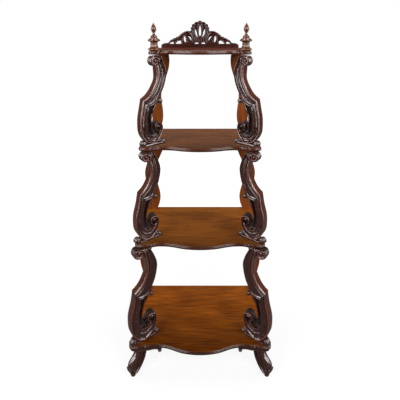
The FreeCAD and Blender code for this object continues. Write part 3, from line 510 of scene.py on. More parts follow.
def c_scroll_pairs(plan):
    """Matching points on the two edges of the C-scroll, from the beak to the lower eye."""
    tall, belly, base, high, tip = plan.tall, plan.belly, plan.base, plan.elbow_height, plan.tip
    eye, radius, (throat_x, throat_z) = plan.eye, plan.eye_radius, plan.throat
    bands = plan.ridge + plan.flat

    def outer(share):
        return belly_point(plan, share, 0)[0]

    pairs = [
        ((plan.elbow - 1, high - 1), (tip[0] + 1, tip[1] + 2)),
        ((outer(0.20), 0.55 * high + 0.45 * 0.43 * tall),
         (0.5 * (tip[0] + outer(0.45) - bands + 2), 0.5 * (tip[1] + 0.42 * tall))),
        (belly_point(plan, 0.45, 0.43), (outer(0.45) - bands + 2, 0.415 * tall)),
        (belly_point(plan, 0.68, 0.38), (outer(0.68) - bands + 1, 0.368 * tall)),
        (belly_point(plan, 0.87, 0.33), (outer(0.87) - bands, 0.32 * tall)),
        (belly_point(plan, 0.97, 0.28), (belly - bands - 0.5, 0.275 * tall)),
        ((belly, 0.235 * tall), (belly - bands - 1, 0.235 * tall)),
        (lap_point(plan, 0.97, 0.165), (throat_x + 16, throat_z - 5)),
        (lap_point(plan, 0.80, 0.107), (throat_x + 12, throat_z - 13)),
        (lap_point(plan, 0.5, 0.058), (throat_x + 5, throat_z - 18)),
        ((base + 14, 16), (throat_x - 3, throat_z - 19.5)),
        ((base, 12), (throat_x - 11, throat_z - 18)),
        *zip(heel_edge(plan), [(throat_x - 22, throat_z - 12),
                               on_circle(eye, 1.16 * radius, -92),
                               on_circle(eye, 0.88 * radius, -112),
                               on_circle(eye, 0.58 * radius, -143)]),
    ]
    for angle, outward, inward in ((-180, 1.0, 0.42), (-225, 1.0, 0.38), (-270, 1.0, 0.38),
                                   (-315, 1.0, 0.40), (-358, 1.0, 0.43), (-385, 1.03, 0.52),
                                   (-410, 1.09, 0.66), (-430, 1.12, 0.84)):
        pairs.append((on_circle(eye, outward * radius, angle),
                      on_circle(eye, inward * radius, angle)))
    return pairs


def rim_pairs(plan):
    """The thin rim of the crescent, from the small curl down past the throat."""
    wall, (x, z) = RIM_WIDTH, plan.curl
    pairs = [((x - 3, z + 8), (x + 1, z + 11)), ((x + 6, z + 2), (x + 11, z + 5))]
    for (x, z), (out, up) in zip(crescent_edge(plan), (
            (0.75 * wall, 0.6 * wall), (wall, 1), (wall, 0.6), (wall, 0), (0.9 * wall, -1),
            (0.7 * wall, -2))):
        pairs.append(((x, z), (x + out, z + up)))
    return pairs + [((x - 8, z - 12), (x - 7, z - 15))]


def stations_along(pairs, step):
    """Evenly spaced pairs of points along the two edges of a band."""
    pairs = [(*first, *last) for first, last in pairs]
    return smooth_curve(pairs, max(int(length_of(pairs) / step), 8))


def carved_ribbon(pairs, section, step, grow=1.0, lap=0.0):
    """A closed band of one carved section, swept between its two edges."""
    stations = stations_along(pairs, step)
    near, middle, far = section
    near_width, far_width = (grow * max(distance for distance, _ in run) for run in (near, far))
    rings = []
    for number, station in enumerate(stations):
        first, last = station[:2], station[2:]
        width = np.linalg.norm(last - first)
        across = (last - first) / max(width, 1e-6)
        scale = min(1.0, width / (near_width + far_width + 2))
        between = width - scale * (near_width + far_width)
        down = lap * max(0.0, 1 - number / (len(stations) - 1) / LAP_LENGTH) ** 2
        profile = [(distance * grow * scale, depth) for distance, depth in near]
        profile += [(scale * near_width + share * between, depth) for share, depth in middle]
        profile += [(width - distance * grow * scale, depth) for distance, depth in far]
        ring = [(BAND_INSET, CARVED_DEPTH)]
        ring += [(min(max(place, BAND_INSET), width - BAND_INSET),
                  depth * (0.4 + 0.6 * scale) + down) for place, depth in profile]
        ring.append((width - BAND_INSET, CARVED_DEPTH))
        rings.append([(first[0] + across[0] * place, into, first[1] + across[1] * place)
                      for place, into in ring])
    return skin(rings)


def slab(outline, levels):
    """A sawn plate from its outline, as rings that are (inset from the edge, depth) each."""
    tangent = np.roll(outline, -1, axis=0) - np.roll(outline, 1, axis=0)
    normal = np.stack([tangent[:, 1], -tangent[:, 0]], 1)
    normal /= np.linalg.norm(normal, axis=1)[:, None]
    turning = np.sum((outline - outline.mean(axis=0)) * normal)
    normal *= 1 if turning < 0 else -1
    rings = []
    for inset, into in levels:
        ring = outline + normal * inset
        rings.append(np.column_stack([ring[:, 0], np.full(len(ring), into), ring[:, 1]]))
    return skin(rings)


def lathe(levels, segments):
    """A turning about an upright line: a ring for each radius and height."""
    return skin([[(*on_circle((0, 0), radius, 360 * segment / segments), height)
                  for segment in range(segments)] for radius, height in levels])


def laid_back(shell, centre, into=0.0):
    """A shell about an upright line, laid back to point at the front from a centre."""
    (x, up, height), faces = shell[0].T, shell[1]
    return np.column_stack([x + centre[0], height + into, up + centre[1]]), faces


def boss(centre, radius, proud, base=CARVED_DEPTH):
    """A small round button with a domed face."""
    levels = ((1.0, 0.42), (0.94, 0.24), (0.80, 0.10), (0.55, 0.02), (0.28, 0.0))
    rounds = [(radius, base)] + [(share * radius, proud + back * radius)
                                 for share, back in levels]
    return laid_back(lathe(rounds, ROUND_SEGMENTS), centre)


def leaf(line, widths, proud, sunk=0.0):
    """A half-round carved leaf, as deep as it is wide, tapering to closed ends."""
    count = max(int(length_of(line) / 1.6), 10)
    path = smooth_curve(line, count)
    tangent = np.gradient(path, axis=0)
    tangent /= np.linalg.norm(tangent, axis=1)[:, None]
    across = np.stack([-tangent[:, 1], tangent[:, 0]], 1)
    half = np.interp(np.linspace(0, 1, count), np.linspace(0, 1, len(widths)), widths)
    half *= np.sqrt(np.clip(np.minimum(np.arange(count), np.arange(count)[::-1]) / 3, 0.03, 1))
    rings = []
    for place, side, width in zip(path, across, half):
        ring = []
        for segment in range(LEAF_SEGMENTS):
            angle = 2 * math.pi * segment / LEAF_SEGMENTS
            x, z = place + side * width * math.cos(angle)
            ring.append((x, sunk - (proud + 0.25 * width) * math.sin(angle), z))
        rings.append(ring)
    return skin(rings)


def repeat_shape(tree, points, shape, finish, result):
    """End a node tree: the shape on every point, made real and given its finish."""
    spread = add_node(tree, "GeometryNodeInstanceOnPoints", {"Points": points,
                                                             "Instance": shape})
    real = add_node(tree, "GeometryNodeRealizeInstances", {"Geometry": spread["Instances"]})
    finished = add_node(tree, "GeometryNodeSetMaterial", {"Geometry": real["Geometry"],
                                                          "Material": finish})
    add_node(tree, "NodeGroupOutput", {result: finished["Geometry"]})
    return tree


def flute_tree():
    """Half-round ribs that wrap a volute: arcs repeated along its depth."""
    tree, given = new_tree("volute_flutes", "GeometryNodeTree", [
        ("Volute Radius", "Float", 0.02), ("Start Angle", "Float", 0.0),
        ("Sweep Angle", "Float", 3.0), ("Rib Radius", "Float", 0.006), ("Rib Count", "Int", 3),
        ("Rib Spacing", "Float", 0.0125), ("Finish", "Material", None)], [("Ribs", "Geometry")])
    arc = add_node(tree, "GeometryNodeCurveArc", {
        "Resolution": 40, "Radius": given["Volute Radius"],
        "Start Angle": given["Start Angle"], "Sweep Angle": given["Sweep Angle"]})
    profile = add_node(tree, "GeometryNodeCurvePrimitiveCircle", {
        "Resolution": 14, "Radius": given["Rib Radius"]})
    rib = add_node(tree, "GeometryNodeCurveToMesh", {
        "Curve": arc["Curve"], "Profile Curve": profile["Curve"], "Fill Caps": True})
    step = add_node(tree, "ShaderNodeCombineXYZ", {"Z": given["Rib Spacing"]})
    row = add_node(tree, "GeometryNodeMeshLine", {"Count": given["Rib Count"],
                                                  "Offset": step["Vector"]})
    return repeat_shape(tree, row["Mesh"], rib["Mesh"], given["Finish"], "Ribs")


def stud_tree():
    """A small round stud on each point."""
    tree, given = new_tree("studs", "GeometryNodeTree", [
        ("Points", "Geometry", None), ("Stud Radius", "Float", STUD_RADIUS),
        ("Finish", "Material", None)], [("Studs", "Geometry")])
    ball = add_node(tree, "GeometryNodeMeshUVSphere", {
        "Segments": 16, "Rings": 10, "Radius": given["Stud Radius"]})
    places = add_node(tree, "GeometryNodeMeshToPoints", {"Mesh": given["Points"]})
    return repeat_shape(tree, places["Points"], ball["Mesh"], given["Finish"], "Studs")


def grown_shell(tree, inputs, points=()):
    """Points and faces of the plain mesh that a node tree makes from its named inputs."""
    seed = bpy.data.meshes.new("seed")
    seed.from_pydata(points, [], [])
    holder = bpy.data.objects.new("seed", seed)
    bpy.context.scene.collection.objects.link(holder)
    modifier = holder.modifiers.new("grow", "NODES")
    modifier.node_group = tree
    for item in tree.interface.items_tree:
        if item.item_type == "SOCKET" and item.in_out == "INPUT" and item.name in inputs:
            modifier[item.identifier] = inputs[item.name]
    bpy.context.view_layer.update()
    ready = holder.evaluated_get(bpy.context.evaluated_depsgraph_get())
    mesh = bpy.data.meshes.new_from_object(ready)
    bpy.data.objects.remove(holder)
    grown = np.empty(len(mesh.vertices) * 3)
    mesh.vertices.foreach_get("co", grown)
    return grown.reshape(-1, 3), [tuple(face.vertices) for face in mesh.polygons]


def gather(shells):
    """Several shells as one set of points and faces."""
    faces, start = [], 0
    for points, shell_faces in shells:
        faces += [tuple(index + start for index in face) for face in shell_faces]
        start += len(points)
    return np.concatenate([points for points, _ in shells]), faces


def shift(x, y, z=0.0):
    return Matrix.Translation((x, y, z))


def turn_by(degrees, axis="Z"):
    return Matrix.Rotation(math.radians(degrees), 4, axis)


def placed(points, place):
    """Points drawn in millimetres, turned and moved to where they go in metres."""
    place = np.array(place)
    return points / 1000 @ place[:3, :3].T + place[:3, 3]


FLUTES, STUDS = flute_tree(), stud_tree()
carved_polish = polished_wood("carved_polish", (0.055, 0.012, 0.006), (0.018, 0.004, 0.002),
                              coat=1.0, sheen=0.25, pores=0.05)
# a mesh's shading attribute runs from -1, a painted highlight on a crown, to 1, painted shade
# deep in a hollow
tree = carved_polish.node_tree
shader = tree.nodes["Principled BSDF"]
painted_shading = add_node(tree, "ShaderNodeAttribute", {}, attribute_name="painted_shading")["Fac"]
bare = shader.inputs["Base Color"].links[0].from_socket
# painted highlight on the crowns, then painted shade in the hollows
lit_crowns = colour_mix(tree, arithmetic(tree, "MULTIPLY", painted_shading, -1.0), bare, CROWN_HIGHLIGHT_TONE)
fill_inputs(tree, shader, {"Base Color": colour_mix(tree, painted_shading, lit_crowns, HOLLOW_SHADE_TONE),
                           "Coat IOR": 1.7})
plank_polish = polished_wood("plank_polish", (0.100, 0.021, 0.006), (0.044, 0.010, 0.003))


def roll_flutes(centre, radius, middle, depth, start, sweep):
    """Ribs around a roll, side by side through the depth of the plate."""
    rib = depth / FLUTES_PER_ROLL / 2
    ribs = grown_shell(FLUTES, {
        "Volute Radius": radius - rib, "Start Angle": math.radians(start),
        "Sweep Angle": math.radians(sweep), "Rib Radius": rib, "Rib Count": FLUTES_PER_ROLL,
        "Rib Spacing": 2 * rib, "Finish": carved_polish})
    return laid_back(ribs, centre, middle - (FLUTES_PER_ROLL - 1) * rib)


def support_shells(plan):
    """The carved bands, buttons, leaf, plank, flutes and studs of one support."""
    roll, roll_radius, eye, eye_radius = plan.roll, plan.roll_radius, plan.eye, plan.eye_radius
    c_pairs = c_scroll_pairs(plan)
    leaf_line = [[a + LEAF_SHARE * (b - a) for a, b in zip(first, last)]
                 for first, last in c_pairs[LEAF_PAIRS]]
    under_shelf = (plan.tall - FLAT_TOP_GAP - roll[1]) / roll_radius
    last_angle = math.degrees(math.asin(min(under_shelf, ROLL_RIM)))
    stud_places = [(x, STUD_DEPTH, share * plan.tall) for x, share in plan.studs]
    return [
        carved_ribbon(s_scroll_pairs(plan), S_SECTION, 2.2),
        carved_ribbon(c_pairs, C_SECTION, 2.2, plan.ridge / FULL_RIDGE, LAP_DEPTH),
        carved_ribbon(rim_pairs(plan), RIM_SECTION, 2.5),
        boss(roll, 0.21 * roll_radius, 0.6),
        boss(eye, 0.26 * eye_radius, 3.0),
        boss(plan.curl, CURL_RADIUS - 0.3, 2.0),
        leaf(leaf_line, LEAF_WIDTHS, 3.0, sunk=6.3),
        slab(support_outline(plan), [(0, HOLLOW_DEPTH - 0.5), (0, SUPPORT_DEPTH - 1.2),
                                     (0.4, SUPPORT_DEPTH - 0.35), (1.1, SUPPORT_DEPTH)]),
        roll_flutes(roll, roll_radius, SUPPORT_DEPTH / 2, SUPPORT_DEPTH, plan.neck,
                    last_angle - plan.neck),
        grown_shell(STUDS, {"Stud Radius": STUD_RADIUS, "Finish": carved_polish}, stud_places),
    ]


def make_front_support(tier, plan):
    place = (shift(plan.datum[0] / 1000, plan.datum[1] / 1000, plan.floor)
             @ turn_by(-SUPPORT_TURN) @ turn_by(-plan.lean, "X"))
    shells = support_shells(plan)
    for number, (points, _) in enumerate(shells):
        points[:] = placed(points, place)
        points[:, 2] = np.clip(points[:, 2], plan.floor + SEAT_HEIGHT / 1000,
                               plan.ceiling - TOP_STEP * number)
    points, faces = gather(shells)

    for side, mirror in SIDES:
        back = place.inverted() @ Matrix.Diagonal((mirror, 1, 1, 1))

        def on_plank(place):
            """Depth into the plank, and how many radii from the roll and from the eye."""
            along, into, up = 1000 * (back @ place)
            return (into, math.dist((along, up), plan.roll) / plan.roll_radius,
                    math.dist((along, up), plan.eye) / plan.eye_radius)

        def finish_at(centre, normal):
            into, from_roll, from_eye = on_plank(centre)
            # round the eye the dark carved polish on the volute's sides is painted shade
            if from_roll < HEAD_REACH or from_eye < EYE_REACH or into <= CARVED_SIDE:
                return 0
            return 1 if (back.to_3x3() @ normal).y > -0.5 else 0

        def shading_at(place):
            # painted highlight on the crowns and painted shade in the hollows, by depth
            into, from_roll, from_eye = on_plank(place)
            if ROLL_RIM < from_roll < HEAD_REACH:
                return 0
            # painted shade on the volute's deep sides round the eye
            if ROLL_RIM < from_eye and into > DARK_SIDE:
                return DARK_SIDE_SHADE
            return np.interp(into, SHADING_DEPTHS, SHADING_VALUES)

        add_piece("carved_support_%s_%s" % (tier, side), "front_support_%s_%s" % (tier, side),
                  (points * (mirror, 1, 1), faces),
                  [carved_polish, plank_polish], finish_at, shading_at)


for tier, plan in SUPPORTS.items():
    make_front_support(tier, plan)


# ------------------------------------------------------------------------------------------
# Scroll plinths.  A low bar of carved mahogany between two fluted rolls, glued to the shelf
# under each front support, with a round button on both ends of each roll.
# ------------------------------------------------------------------------------------------
PLINTH_TURN = 41
PLINTH_DEPTH = 24
PLINTH_SETBACK = 4
FLUTE_RELIEF = 2.2
PLINTHS = {
    # outer roll and its radius, inner roll and its radius
    "lower": ((42, 16), (-70, 12)),
    "middle": ((40, 14), (-61, 10)),
    "upper": ((30, 12), (-57, 9)),
}


def round_band(pairs, half_depth, square=0.65, tip=0):
    """A plump band that fills the plate from face to face, rounded on both faces."""
    stations = stations_along(pairs, 2.5)
    rings = []
    for number, station in enumerate(stations):
        first, last = station[:2], station[2:]
        left = (len(stations) - 1 - number) / max(tip, 1)
        full = math.sqrt(max(1 - (1 - min(left, 1)) ** 2, 0.01)) if tip else 1
        centre, half = 0.5 * (first + last), 0.5 * full * (last - first)
        ring = []
        for segment in range(ROUND_SEGMENTS):
            angle = 2 * math.pi * segment / ROUND_SEGMENTS
            share, into = (math.copysign(abs(part) ** square, part)
                           for part in (math.cos(angle), math.sin(angle)))
            x, z = centre - share * half
            ring.append((x, into * full * half_depth, z))
        rings.append(ring)
    return skin(rings)


def add_pair(name, node, shell):
    """A carved piece on the right and its mirror twin on the left."""
    points, faces = shell
    for side, mirror in SIDES:
        add_piece(name + "_" + side, node + "_" + side, (points * (mirror, 1, 1), faces),
                  [carved_polish])


def make_plinth(tier, plan):
    rolls, half = PLINTHS[tier], PLINTH_DEPTH / 2
    outer, inner = rolls[0][0], rolls[1][0]
    shells = [round_band([((x, 0), (x, height)) for x, height in
                          ((inner, 9), (0.5 * (inner + outer), 10), (outer, 9))],
                         half, square=0.35)]
    for x, radius in rolls:
        core = np.array([on_circle((x, radius), radius - FLUTE_RELIEF, angle)
                         for angle in range(0, 360, 10)])
        shells.append(slab(core, [(1.6, -half), (0.4, 0.6 - half), (0, 1.6 - half),
                                  (0, half - 1.6), (0.4, half - 0.6), (1.6, half)]))
        shells.append(roll_flutes((x, radius), radius, 0, PLINTH_DEPTH, -80, 340))
        button, faces = boss((x, radius), 0.42 * radius, 0, base=4)
        for side in (1, -1):
            shells.append((button * (1, side, 1) - (0, side * (half + 1.0), 0), faces))
    points, faces = gather(shells)
    points[:, 2] = np.maximum(points[:, 2], 0)
    place = (shift(plan.datum[0] / 1000, plan.datum[1] / 1000, plan.floor)
             @ turn_by(-SUPPORT_TURN) @ shift(plan.base / 1000, SUPPORT_DEPTH / 2000)
             @ turn_by(SUPPORT_TURN - PLINTH_TURN) @ shift(0, PLINTH_SETBACK / 1000))
    add_pair("fluted_plinth_" + tier, "scroll_plinth_" + tier, (placed(points, place), faces))


for tier, plan in SUPPORTS.items():
    make_plinth(tier, plan)


# ------------------------------------------------------------------------------------------
# Rear boards.  Six thin mahogany boards sawn to a wave, two to a tier, and dowelled between
# the shelves.  They keep the frame's own solids and take a thin polish.
# ------------------------------------------------------------------------------------------
board_polish = polished_wood("board_polish", (0.20, 0.052, 0.009), (0.085, 0.020, 0.004),
                             coat=0.1)


def finish_solids(word, finish):
    """Put one finish on every solid of the frame whose name holds the word."""
    for node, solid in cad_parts.items():
        if word in node:
            solid.data.materials.clear()
            solid.data.materials.append(finish)


finish_solids("rear_support", board_polish)


# ------------------------------------------------------------------------------------------
# Feet.  Carved mahogany scrolls, dowelled under the corners to sweep out and down.  A rim runs
# down the back and curls up round the toe, and two plump ridges run down the front.  Each
# stands on a small turned peg, which keeps the frame's own solid.
# ------------------------------------------------------------------------------------------
FOOT_TOP = 157
PEG_TOP = 16
FEET = {"front": (268, -145, 45), "rear": (259, 174, 0)}
FOOT_RIM = [((-38, FOOT_TOP), (-25, FOOT_TOP)), ((-34, 120), (-21, 122)), ((-27, 88), (-15, 93)),
            ((-16, 62), (-5, 69)), ((-2, 41), (7, 50)), ((14, 24.5), (21, 34)),
            ((27, 16.3), (31, 27)), ((43, 16), (41, 26)), ((53, 23), (46, 31)),
            ((58.4, 37), (51, 41)), ((59.4, 52), (54, 52)), ((59, 62), (55, 60))]
FOOT_RIDGE = [((-26, FOOT_TOP), (-5, FOOT_TOP)), ((-21, 121), (-4, 123)), ((-14, 92), (1, 98)),
              ((-4, 69), (10, 78)), ((8, 51), (20, 63)), ((20, 39), (29, 52)),
              ((29, 35), (34, 46))]
FOOT_FRONT = [((-7, FOOT_TOP), (13, FOOT_TOP)), ((-6, 140), (13.5, 138)),
              ((-4, 121), (18.5, 117)), ((2, 98), (29, 101)), ((11, 78), (43, 90)),
              ((20, 62), (54, 77)), ((28, 49), (58.5, 62)), ((36, 39), (57, 49)),
              ((43, 36), (52, 40))]
CORE_FRONT = [(58, 60), (50, 82), (33, 96), (20, 111), (14, 128), (13, FOOT_TOP)]
CORE_LEVELS = [(4, -10), (3, -11), (3, 11), (4, 10)]


def make_foot(corner):
    x, y, turn = FEET[corner]
    outline = smooth_curve([outer for outer, _ in FOOT_RIM[:10]], 60)
    points, faces = gather([
        slab(np.concatenate([outline, smooth_curve(CORE_FRONT, 40)]), CORE_LEVELS),
        round_band(FOOT_RIM, 18, tip=9), round_band(FOOT_RIDGE, 15, square=0.85, tip=7),
        round_band(FOOT_FRONT, 16.5, square=1.0, tip=6)])
    points[:, 2] = np.clip(points[:, 2], PEG_TOP, FOOT_TOP)
    points = placed(points, shift(x / 1000, y / 1000) @ turn_by(-turn))
    add_pair("carved_foot_" + corner, corner + "_foot", (points, faces))


for corner in FEET:
    make_foot(corner)
turned_polish = polished_wood("turned_polish", (0.125, 0.036, 0.010), (0.040, 0.011, 0.003),
                              coat=0.9, pores=0.12)
finish_solids("peg", turned_polish)


# ------------------------------------------------------------------------------------------
# Corner brackets.  A moulded mahogany fillet glued under each front lobe of the bottom shelf,
# with a small turned drop at either end.
# ------------------------------------------------------------------------------------------
# the moulding, from the shelf down and back up: how far in from the edge, and how high
BRACKET_PROFILE = [(0.0022, 0.157), (0.0022, 0.1545), (0.0028, 0.1530), (0.0044, 0.1522),
                   (0.0052, 0.1508), (0.0044, 0.1488), (0.0038, 0.1468), (0.0042, 0.1442),
                   (0.0062, 0.1420), (0.0088, 0.1408), (0.0094, 0.1392), (0.0114, 0.1382),
                   (0.0200, 0.1382), (0.0200, 0.157)]
# the turning of a drop in runs, from its tip up: (radius, height) in millimetres
DROP_RUNS = [
    [(0, 0), (4.2, 0.7), (7.2, 2.7), (8.0, 5.0), (7.0, 7.6), (5.0, 9.0)],
    [(5.0, 9.0), (4.6, 10.2), (5.6, 11.2)], [(5.6, 11.2), (8.6, 12.0), (9.3, 13.6), (8.6, 15.0)],
    [(8.6, 15.0), (9.0, 16.6), (9.2, 19.0), (9.2, 30.0)],
]
DROP_TIP = 0.127
DROP_INSET = 0.0105
BRACKET_WRAP = 0.015


def turned(runs, centre, segments=48):
    """A turning about an upright line, from the runs of its profile."""
    profile = []
    for run in runs:
        curve = smooth_curve(run, max(int(length_of(run) / 0.9), 3)) if len(run) > 2 else run
        profile += [*curve][:-1]
    profile.append(runs[-1][-1])
    points, faces = lathe([(max(radius, 0.02), height) for radius, height in profile], segments)
    return points / 1000 + centre, faces


edge = shelf_ring("bottom", BRACKET_PROFILE[0][0])
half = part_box("shelf_bottom")[1].x - BRACKET_PROFILE[0][0]
depth, lobe = SHELVES["bottom"][:2]
from_front = edge[:, 1] - (BACK_FACE - depth + lobe)
along = [i for i, (x, _) in enumerate(edge)
         if x > TROUGH_SHARE * (half - lobe) and from_front[i] < BRACKET_WRAP]
profile = [shelf_ring("bottom", inset)[along] for inset, _ in BRACKET_PROFILE]
moulding = skin([[(*line[i], height) for line, (_, height) in zip(profile, BRACKET_PROFILE)]
                 for i in range(len(along))])
drop_line = shelf_ring("bottom", DROP_INSET)[along]
drops = [turned(DROP_RUNS, (x, y, DROP_TIP), segments=32) for x, y in drop_line[[0, -1]]]
add_pair("moulded_bracket", "corner_bracket", gather([moulding, *drops]))


# ------------------------------------------------------------------------------------------
# Gallery.  A moulded rail screwed to the back of the top shelf carries a pierced mahogany
# crest, and both keep the frame's own solids.  Half-round leaves and scrolls are carved on its
# front, from the palmette in the middle to the shoulders, with a round knob on each lobe.
# ------------------------------------------------------------------------------------------
gallery_polish = polished_wood("gallery_polish", (0.045, 0.008, 0.004), (0.016, 0.003, 0.002),
                               along="X", pores=0.12, coat=0.7)
finish_solids("gallery_rail", gallery_polish)
finish_solids("gallery_crest", gallery_polish)
# each leaf of the right half: its line, and its half widths from root to tip
LEAVES = [
    ([(4.8, 4), (6.6, 30), (8.2, 52), (8.0, 70), (4.5, 82)], (2.6, 3.0, 2.6, 3.2, 4.0)),
    ([(13, 6), (16.5, 26), (23.5, 46), (26, 60), (22, 74)], (2.2, 2.6, 2.6, 3.0, 3.4)),
    ([(20, 6), (23, 24), (29.5, 42), (33.5, 54), (31.5, 64)], (2.2, 2.6, 2.8, 3.0, 3.2)),
    ([(26, 4), (27.5, 20), (33, 36), (37, 48)], (2.2, 2.4, 2.6, 2.8)),
    ([(31, 4), (31, 22), (37, 38), (50, 48.5), (67, 43.5), (82, 33), (92, 25), (100, 21)],
     (2.6, 3.0, 3.4, 4.2, 4.4, 4.0, 3.2, 2.0)),
    ([(40, 35), (51, 39), (62, 36.5), (69, 28), (72, 16), (75, 4)],
     (1.4, 2.6, 3.0, 3.0, 3.0, 2.8)),
    ([(100, 21), (107, 20), (114, 15), (120, 13), (127, 8), (138, 3)],
     (2.2, 2.8, 2.6, 2.6, 2.2, 1.4)),
    ([(80, 20), (90, 17), (98, 10), (105, 3)], (2.0, 2.8, 2.6, 2.0)),
    ([(47, 8), (54, 14), (56, 22), (51, 27.5), (45, 25), (44, 19.5)],
     (2.4, 2.8, 2.8, 2.6, 2.4, 1.8)),
]
# each knob: its place and its radius, with the one in the middle first
KNOBS = [(0, 85, 6.4), (20.5, 76, 4.6), (31.5, 65, 4.4), (36, 52.5, 3.6), (48, 20, 3.6)]
KNOB_FACE, KNOB_BACK = -3.4, 3

low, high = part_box("gallery_crest")
shells = []
for mirror in (1, -1):
    for line, widths in LEAVES:
        shells.append(leaf([(mirror * x, z) for x, z in line], widths, 2.0))
    for x, z, radius in KNOBS[0 if mirror == 1 else 1:]:
        shells.append(boss((mirror * x, z), radius, KNOB_FACE, base=KNOB_BACK))
points, faces = gather(shells)
points = points / 1000 + (0, low.y, low.z)
points[:, 2] = np.clip(points[:, 2], low.z, high.z)
add_piece("crest_carving", None, (points, faces), [gallery_polish])


# ------------------------------------------------------------------------------------------
# Finials.  Turned from one piece of mahogany: a ringed foot, a hollow stem, a wide collar and
# a pointed bud, pegged into the front corners of the top shelf.
# ------------------------------------------------------------------------------------------
SPIGOT = 0.008
# every run of the turning, from the shelf up: (radius, height) in millimetres
FINIAL_RUNS = [
    [(0, -8), (5, -8)], [(5, -8), (5, 0)], [(5, 0), (21.4, 0)],
    [(21.4, 0), (23.3, 1.2), (23.6, 2.8), (22.6, 4.4), (20.6, 5)], [(20.6, 5), (20.0, 5.8)],
    [(20.0, 5.8), (16, 9), (13.4, 14), (12.2, 19.5)],
    [(12.2, 19.5), (13.7, 20.3), (14.0, 21.5), (13.0, 22.6)],
    [(13.0, 22.6), (12.4, 24.4), (13.2, 27), (15.5, 29.6)],
    [(15.5, 29.6), (19.5, 30.8), (22.2, 32.4), (22.8, 34.2), (21.8, 36), (20, 37)],
    [(20, 37), (16, 39.6), (12.6, 42.2), (10.4, 45.4)],
    [(10.4, 45.4), (12.2, 46.2), (12.6, 47.4), (11.4, 48.6)],
    [(11.4, 48.6), (8.2, 50.6), (5.4, 53.8), (3.8, 58)], [(3.8, 58), (3.3, 59.4), (4.2, 60.6)],
    [(4.2, 60.6), (7.2, 61.6), (7.8, 63.0), (7.0, 64.4)], [(7.0, 64.4), (6.7, 65.2)],
    [(6.7, 65.2), (9.2, 68.4), (9.9, 72.6), (9.2, 77), (6.4, 82.6), (3, 88.4), (0.9, 92.4),
     (0, 94)],
]


for side, _ in SIDES:
    low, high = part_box("finial_" + side)
    centre = (0.5 * (low.x + high.x), 0.5 * (low.y + high.y), low.z + SPIGOT)
    add_piece("turned_finial_" + side, "finial_" + side, turned(FINIAL_RUNS, centre),
              [turned_polish])


# ------------------------------------------------------------------------------------------
# Dowels and screws.  Plain pale dowels join the supports, boards and feet to the shelves, and
# blued steel screws go up through the top shelf into the gallery rail.
# ------------------------------------------------------------------------------------------
dowel_wood = polished_wood("dowel_wood", (0.42, 0.27, 0.13), (0.30, 0.18, 0.08), coat=0.0)
screw_steel, tree, shader = new_material("screw_steel")
place = add_node(tree, "ShaderNodeTexCoord", {})["Object"]
marks = add_node(tree, "ShaderNodeTexWave", {"Vector": place, "Scale": 400, "Distortion": 2},
                 bands_direction="Z")["Fac"]
fill_inputs(tree, shader, {
    "Metallic": 1.0, "Roughness": map_range(tree, marks, 0.0, 1.0, 0.30, 0.50),
    "Base Color": colour_mix(tree, marks, (0.12, 0.12, 0.13, 1), (0.24, 0.23, 0.23, 1))})
finish_solids("dowels", dowel_wood)
finish_solids("screws", screw_steel)


# ------------------------------------------------------------------------------------------
# Floor, light and camera.  A pale matt floor whose glow is dimmed near the piece as painted
# shade and runs out to white, a white room, and soft rectangular studio lights in front, at the
# sides, above and behind.
# ------------------------------------------------------------------------------------------
GLOSS_SHARE = 0.05
FLOOR_CORNERS = [(-14, -6, 0), (14, -6, 0), (14, 22, 0), (-14, 22, 0)]
FLOOR_TONES = (0.06, 0.06, 0.06, 1), (0.10, 0.10, 0.10, 1)
ROOM_TONES = (0.05, 0.05, 0.052, 1), (1.0, 1.0, 1.0, 1)
# name, place, height aimed at, size, power, and whether it shows in polish, body or both
PAIRED_LIGHTS = [("window", (1.8, -2.4, 2.6), 0.7, (1.8, 1.9), 112, "both"),
                 ("gleam", (2.9, -1.1, 1.0), 0.8, (0.7, 2.0), 40, "polish"),
                 ("side", (2.6, 0.1, 1.9), 0.8, (0.8, 1.6), 40, "both")]
SINGLE_LIGHTS = [("overhead", (0, 0.6, 3.2), 0.7, (1.8, 0.9), 30, "both"),
                 ("behind", (0, 2.8, 0.8), 0.8, (2.4, 1.4), 45, "body")]
CAMERA_PLACE = (0, -1.363, 1.436)
CAMERA_PITCH = 19
CAMERA_SHIFT = -0.110
SENSOR_WIDTH = 36
LENS = 32.4


def seen_directly(tree):
    """A mask: one where the camera sees it, or sees it through glass, and faint in a gloss."""
    path = add_node(tree, "ShaderNodeLightPath", {})
    gloss = arithmetic(tree, "MULTIPLY", path["Is Glossy Ray"], GLOSS_SHARE)
    direct = arithmetic(tree, "ADD", path["Is Camera Ray"], path["Is Transmission Ray"])
    return arithmetic(tree, "ADD", direct, gloss, clamp=True)


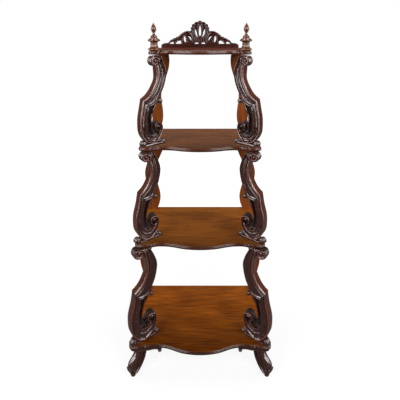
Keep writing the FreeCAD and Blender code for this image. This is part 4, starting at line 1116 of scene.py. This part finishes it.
pale_floor, tree, shader = new_material("pale_floor")
place = add_node(tree, "ShaderNodeTexCoord", {})["Object"]
distance = add_node(tree, "ShaderNodeVectorMath", {0: place}, operation="LENGTH")["Value"]
# painted shade round the piece: the floor glows less near it and runs out to white further away
glow_dimmed_near_piece = map_range(tree, distance, 0.6, 2.0, 0.86, 1.0)
seen = seen_directly(tree)
fill_inputs(tree, shader, {
    "Base Color": colour_mix(tree, seen, *FLOOR_TONES), "Roughness": 0.95,
    "Specular IOR Level": 0.0, "Emission Color": (1, 1, 1, 1),
    "Emission Strength": arithmetic(tree, "MULTIPLY", seen, glow_dimmed_near_piece)})
mesh = bpy.data.meshes.new("floor")
mesh.from_pydata(FLOOR_CORNERS, [], [(0, 1, 2, 3)])
mesh.materials.append(pale_floor)
floor = bpy.data.objects.new("floor", mesh)
bpy.context.scene.collection.objects.link(floor)

world = bpy.data.worlds.new("studio")
world.use_nodes = True
fill_inputs(world.node_tree, world.node_tree.nodes["Background"], {
    "Color": colour_mix(world.node_tree, seen_directly(world.node_tree), *ROOM_TONES)})
bpy.context.scene.world = world


def soft_light(name, place, aim_height, size, power, shows):
    """A soft rectangular light aimed at a height on the middle line."""
    lamp = bpy.data.lights.new(name, "AREA")
    lamp.shape = "RECTANGLE"
    lamp.size, lamp.size_y = size
    lamp.energy = power
    light = bpy.data.objects.new(name, lamp)
    light.location = place
    direction = Vector((0, 0, aim_height)) - Vector(place)
    light.rotation_euler = direction.to_track_quat("-Z", "Y").to_euler()
    light.visible_diffuse = shows != "polish"
    light.visible_glossy = shows != "body"
    bpy.context.scene.collection.objects.link(light)


for side, mirror in reversed(SIDES):
    for name, (x, y, z), *details in PAIRED_LIGHTS:
        soft_light(side + "_" + name, (mirror * x, y, z), *details)
for light in SINGLE_LIGHTS:
    soft_light(*light)

camera_data = bpy.data.cameras.new("camera")
camera_data.sensor_width = SENSOR_WIDTH
camera_data.lens = LENS
camera_data.shift_y = CAMERA_SHIFT
camera = bpy.data.objects.new("camera", camera_data)
camera.location = CAMERA_PLACE
camera.rotation_euler = (math.radians(90 - CAMERA_PITCH), 0, 0)
bpy.context.scene.collection.objects.link(camera)
bpy.context.scene.camera = camera
bpy.context.scene.view_settings.view_transform = "Standard"
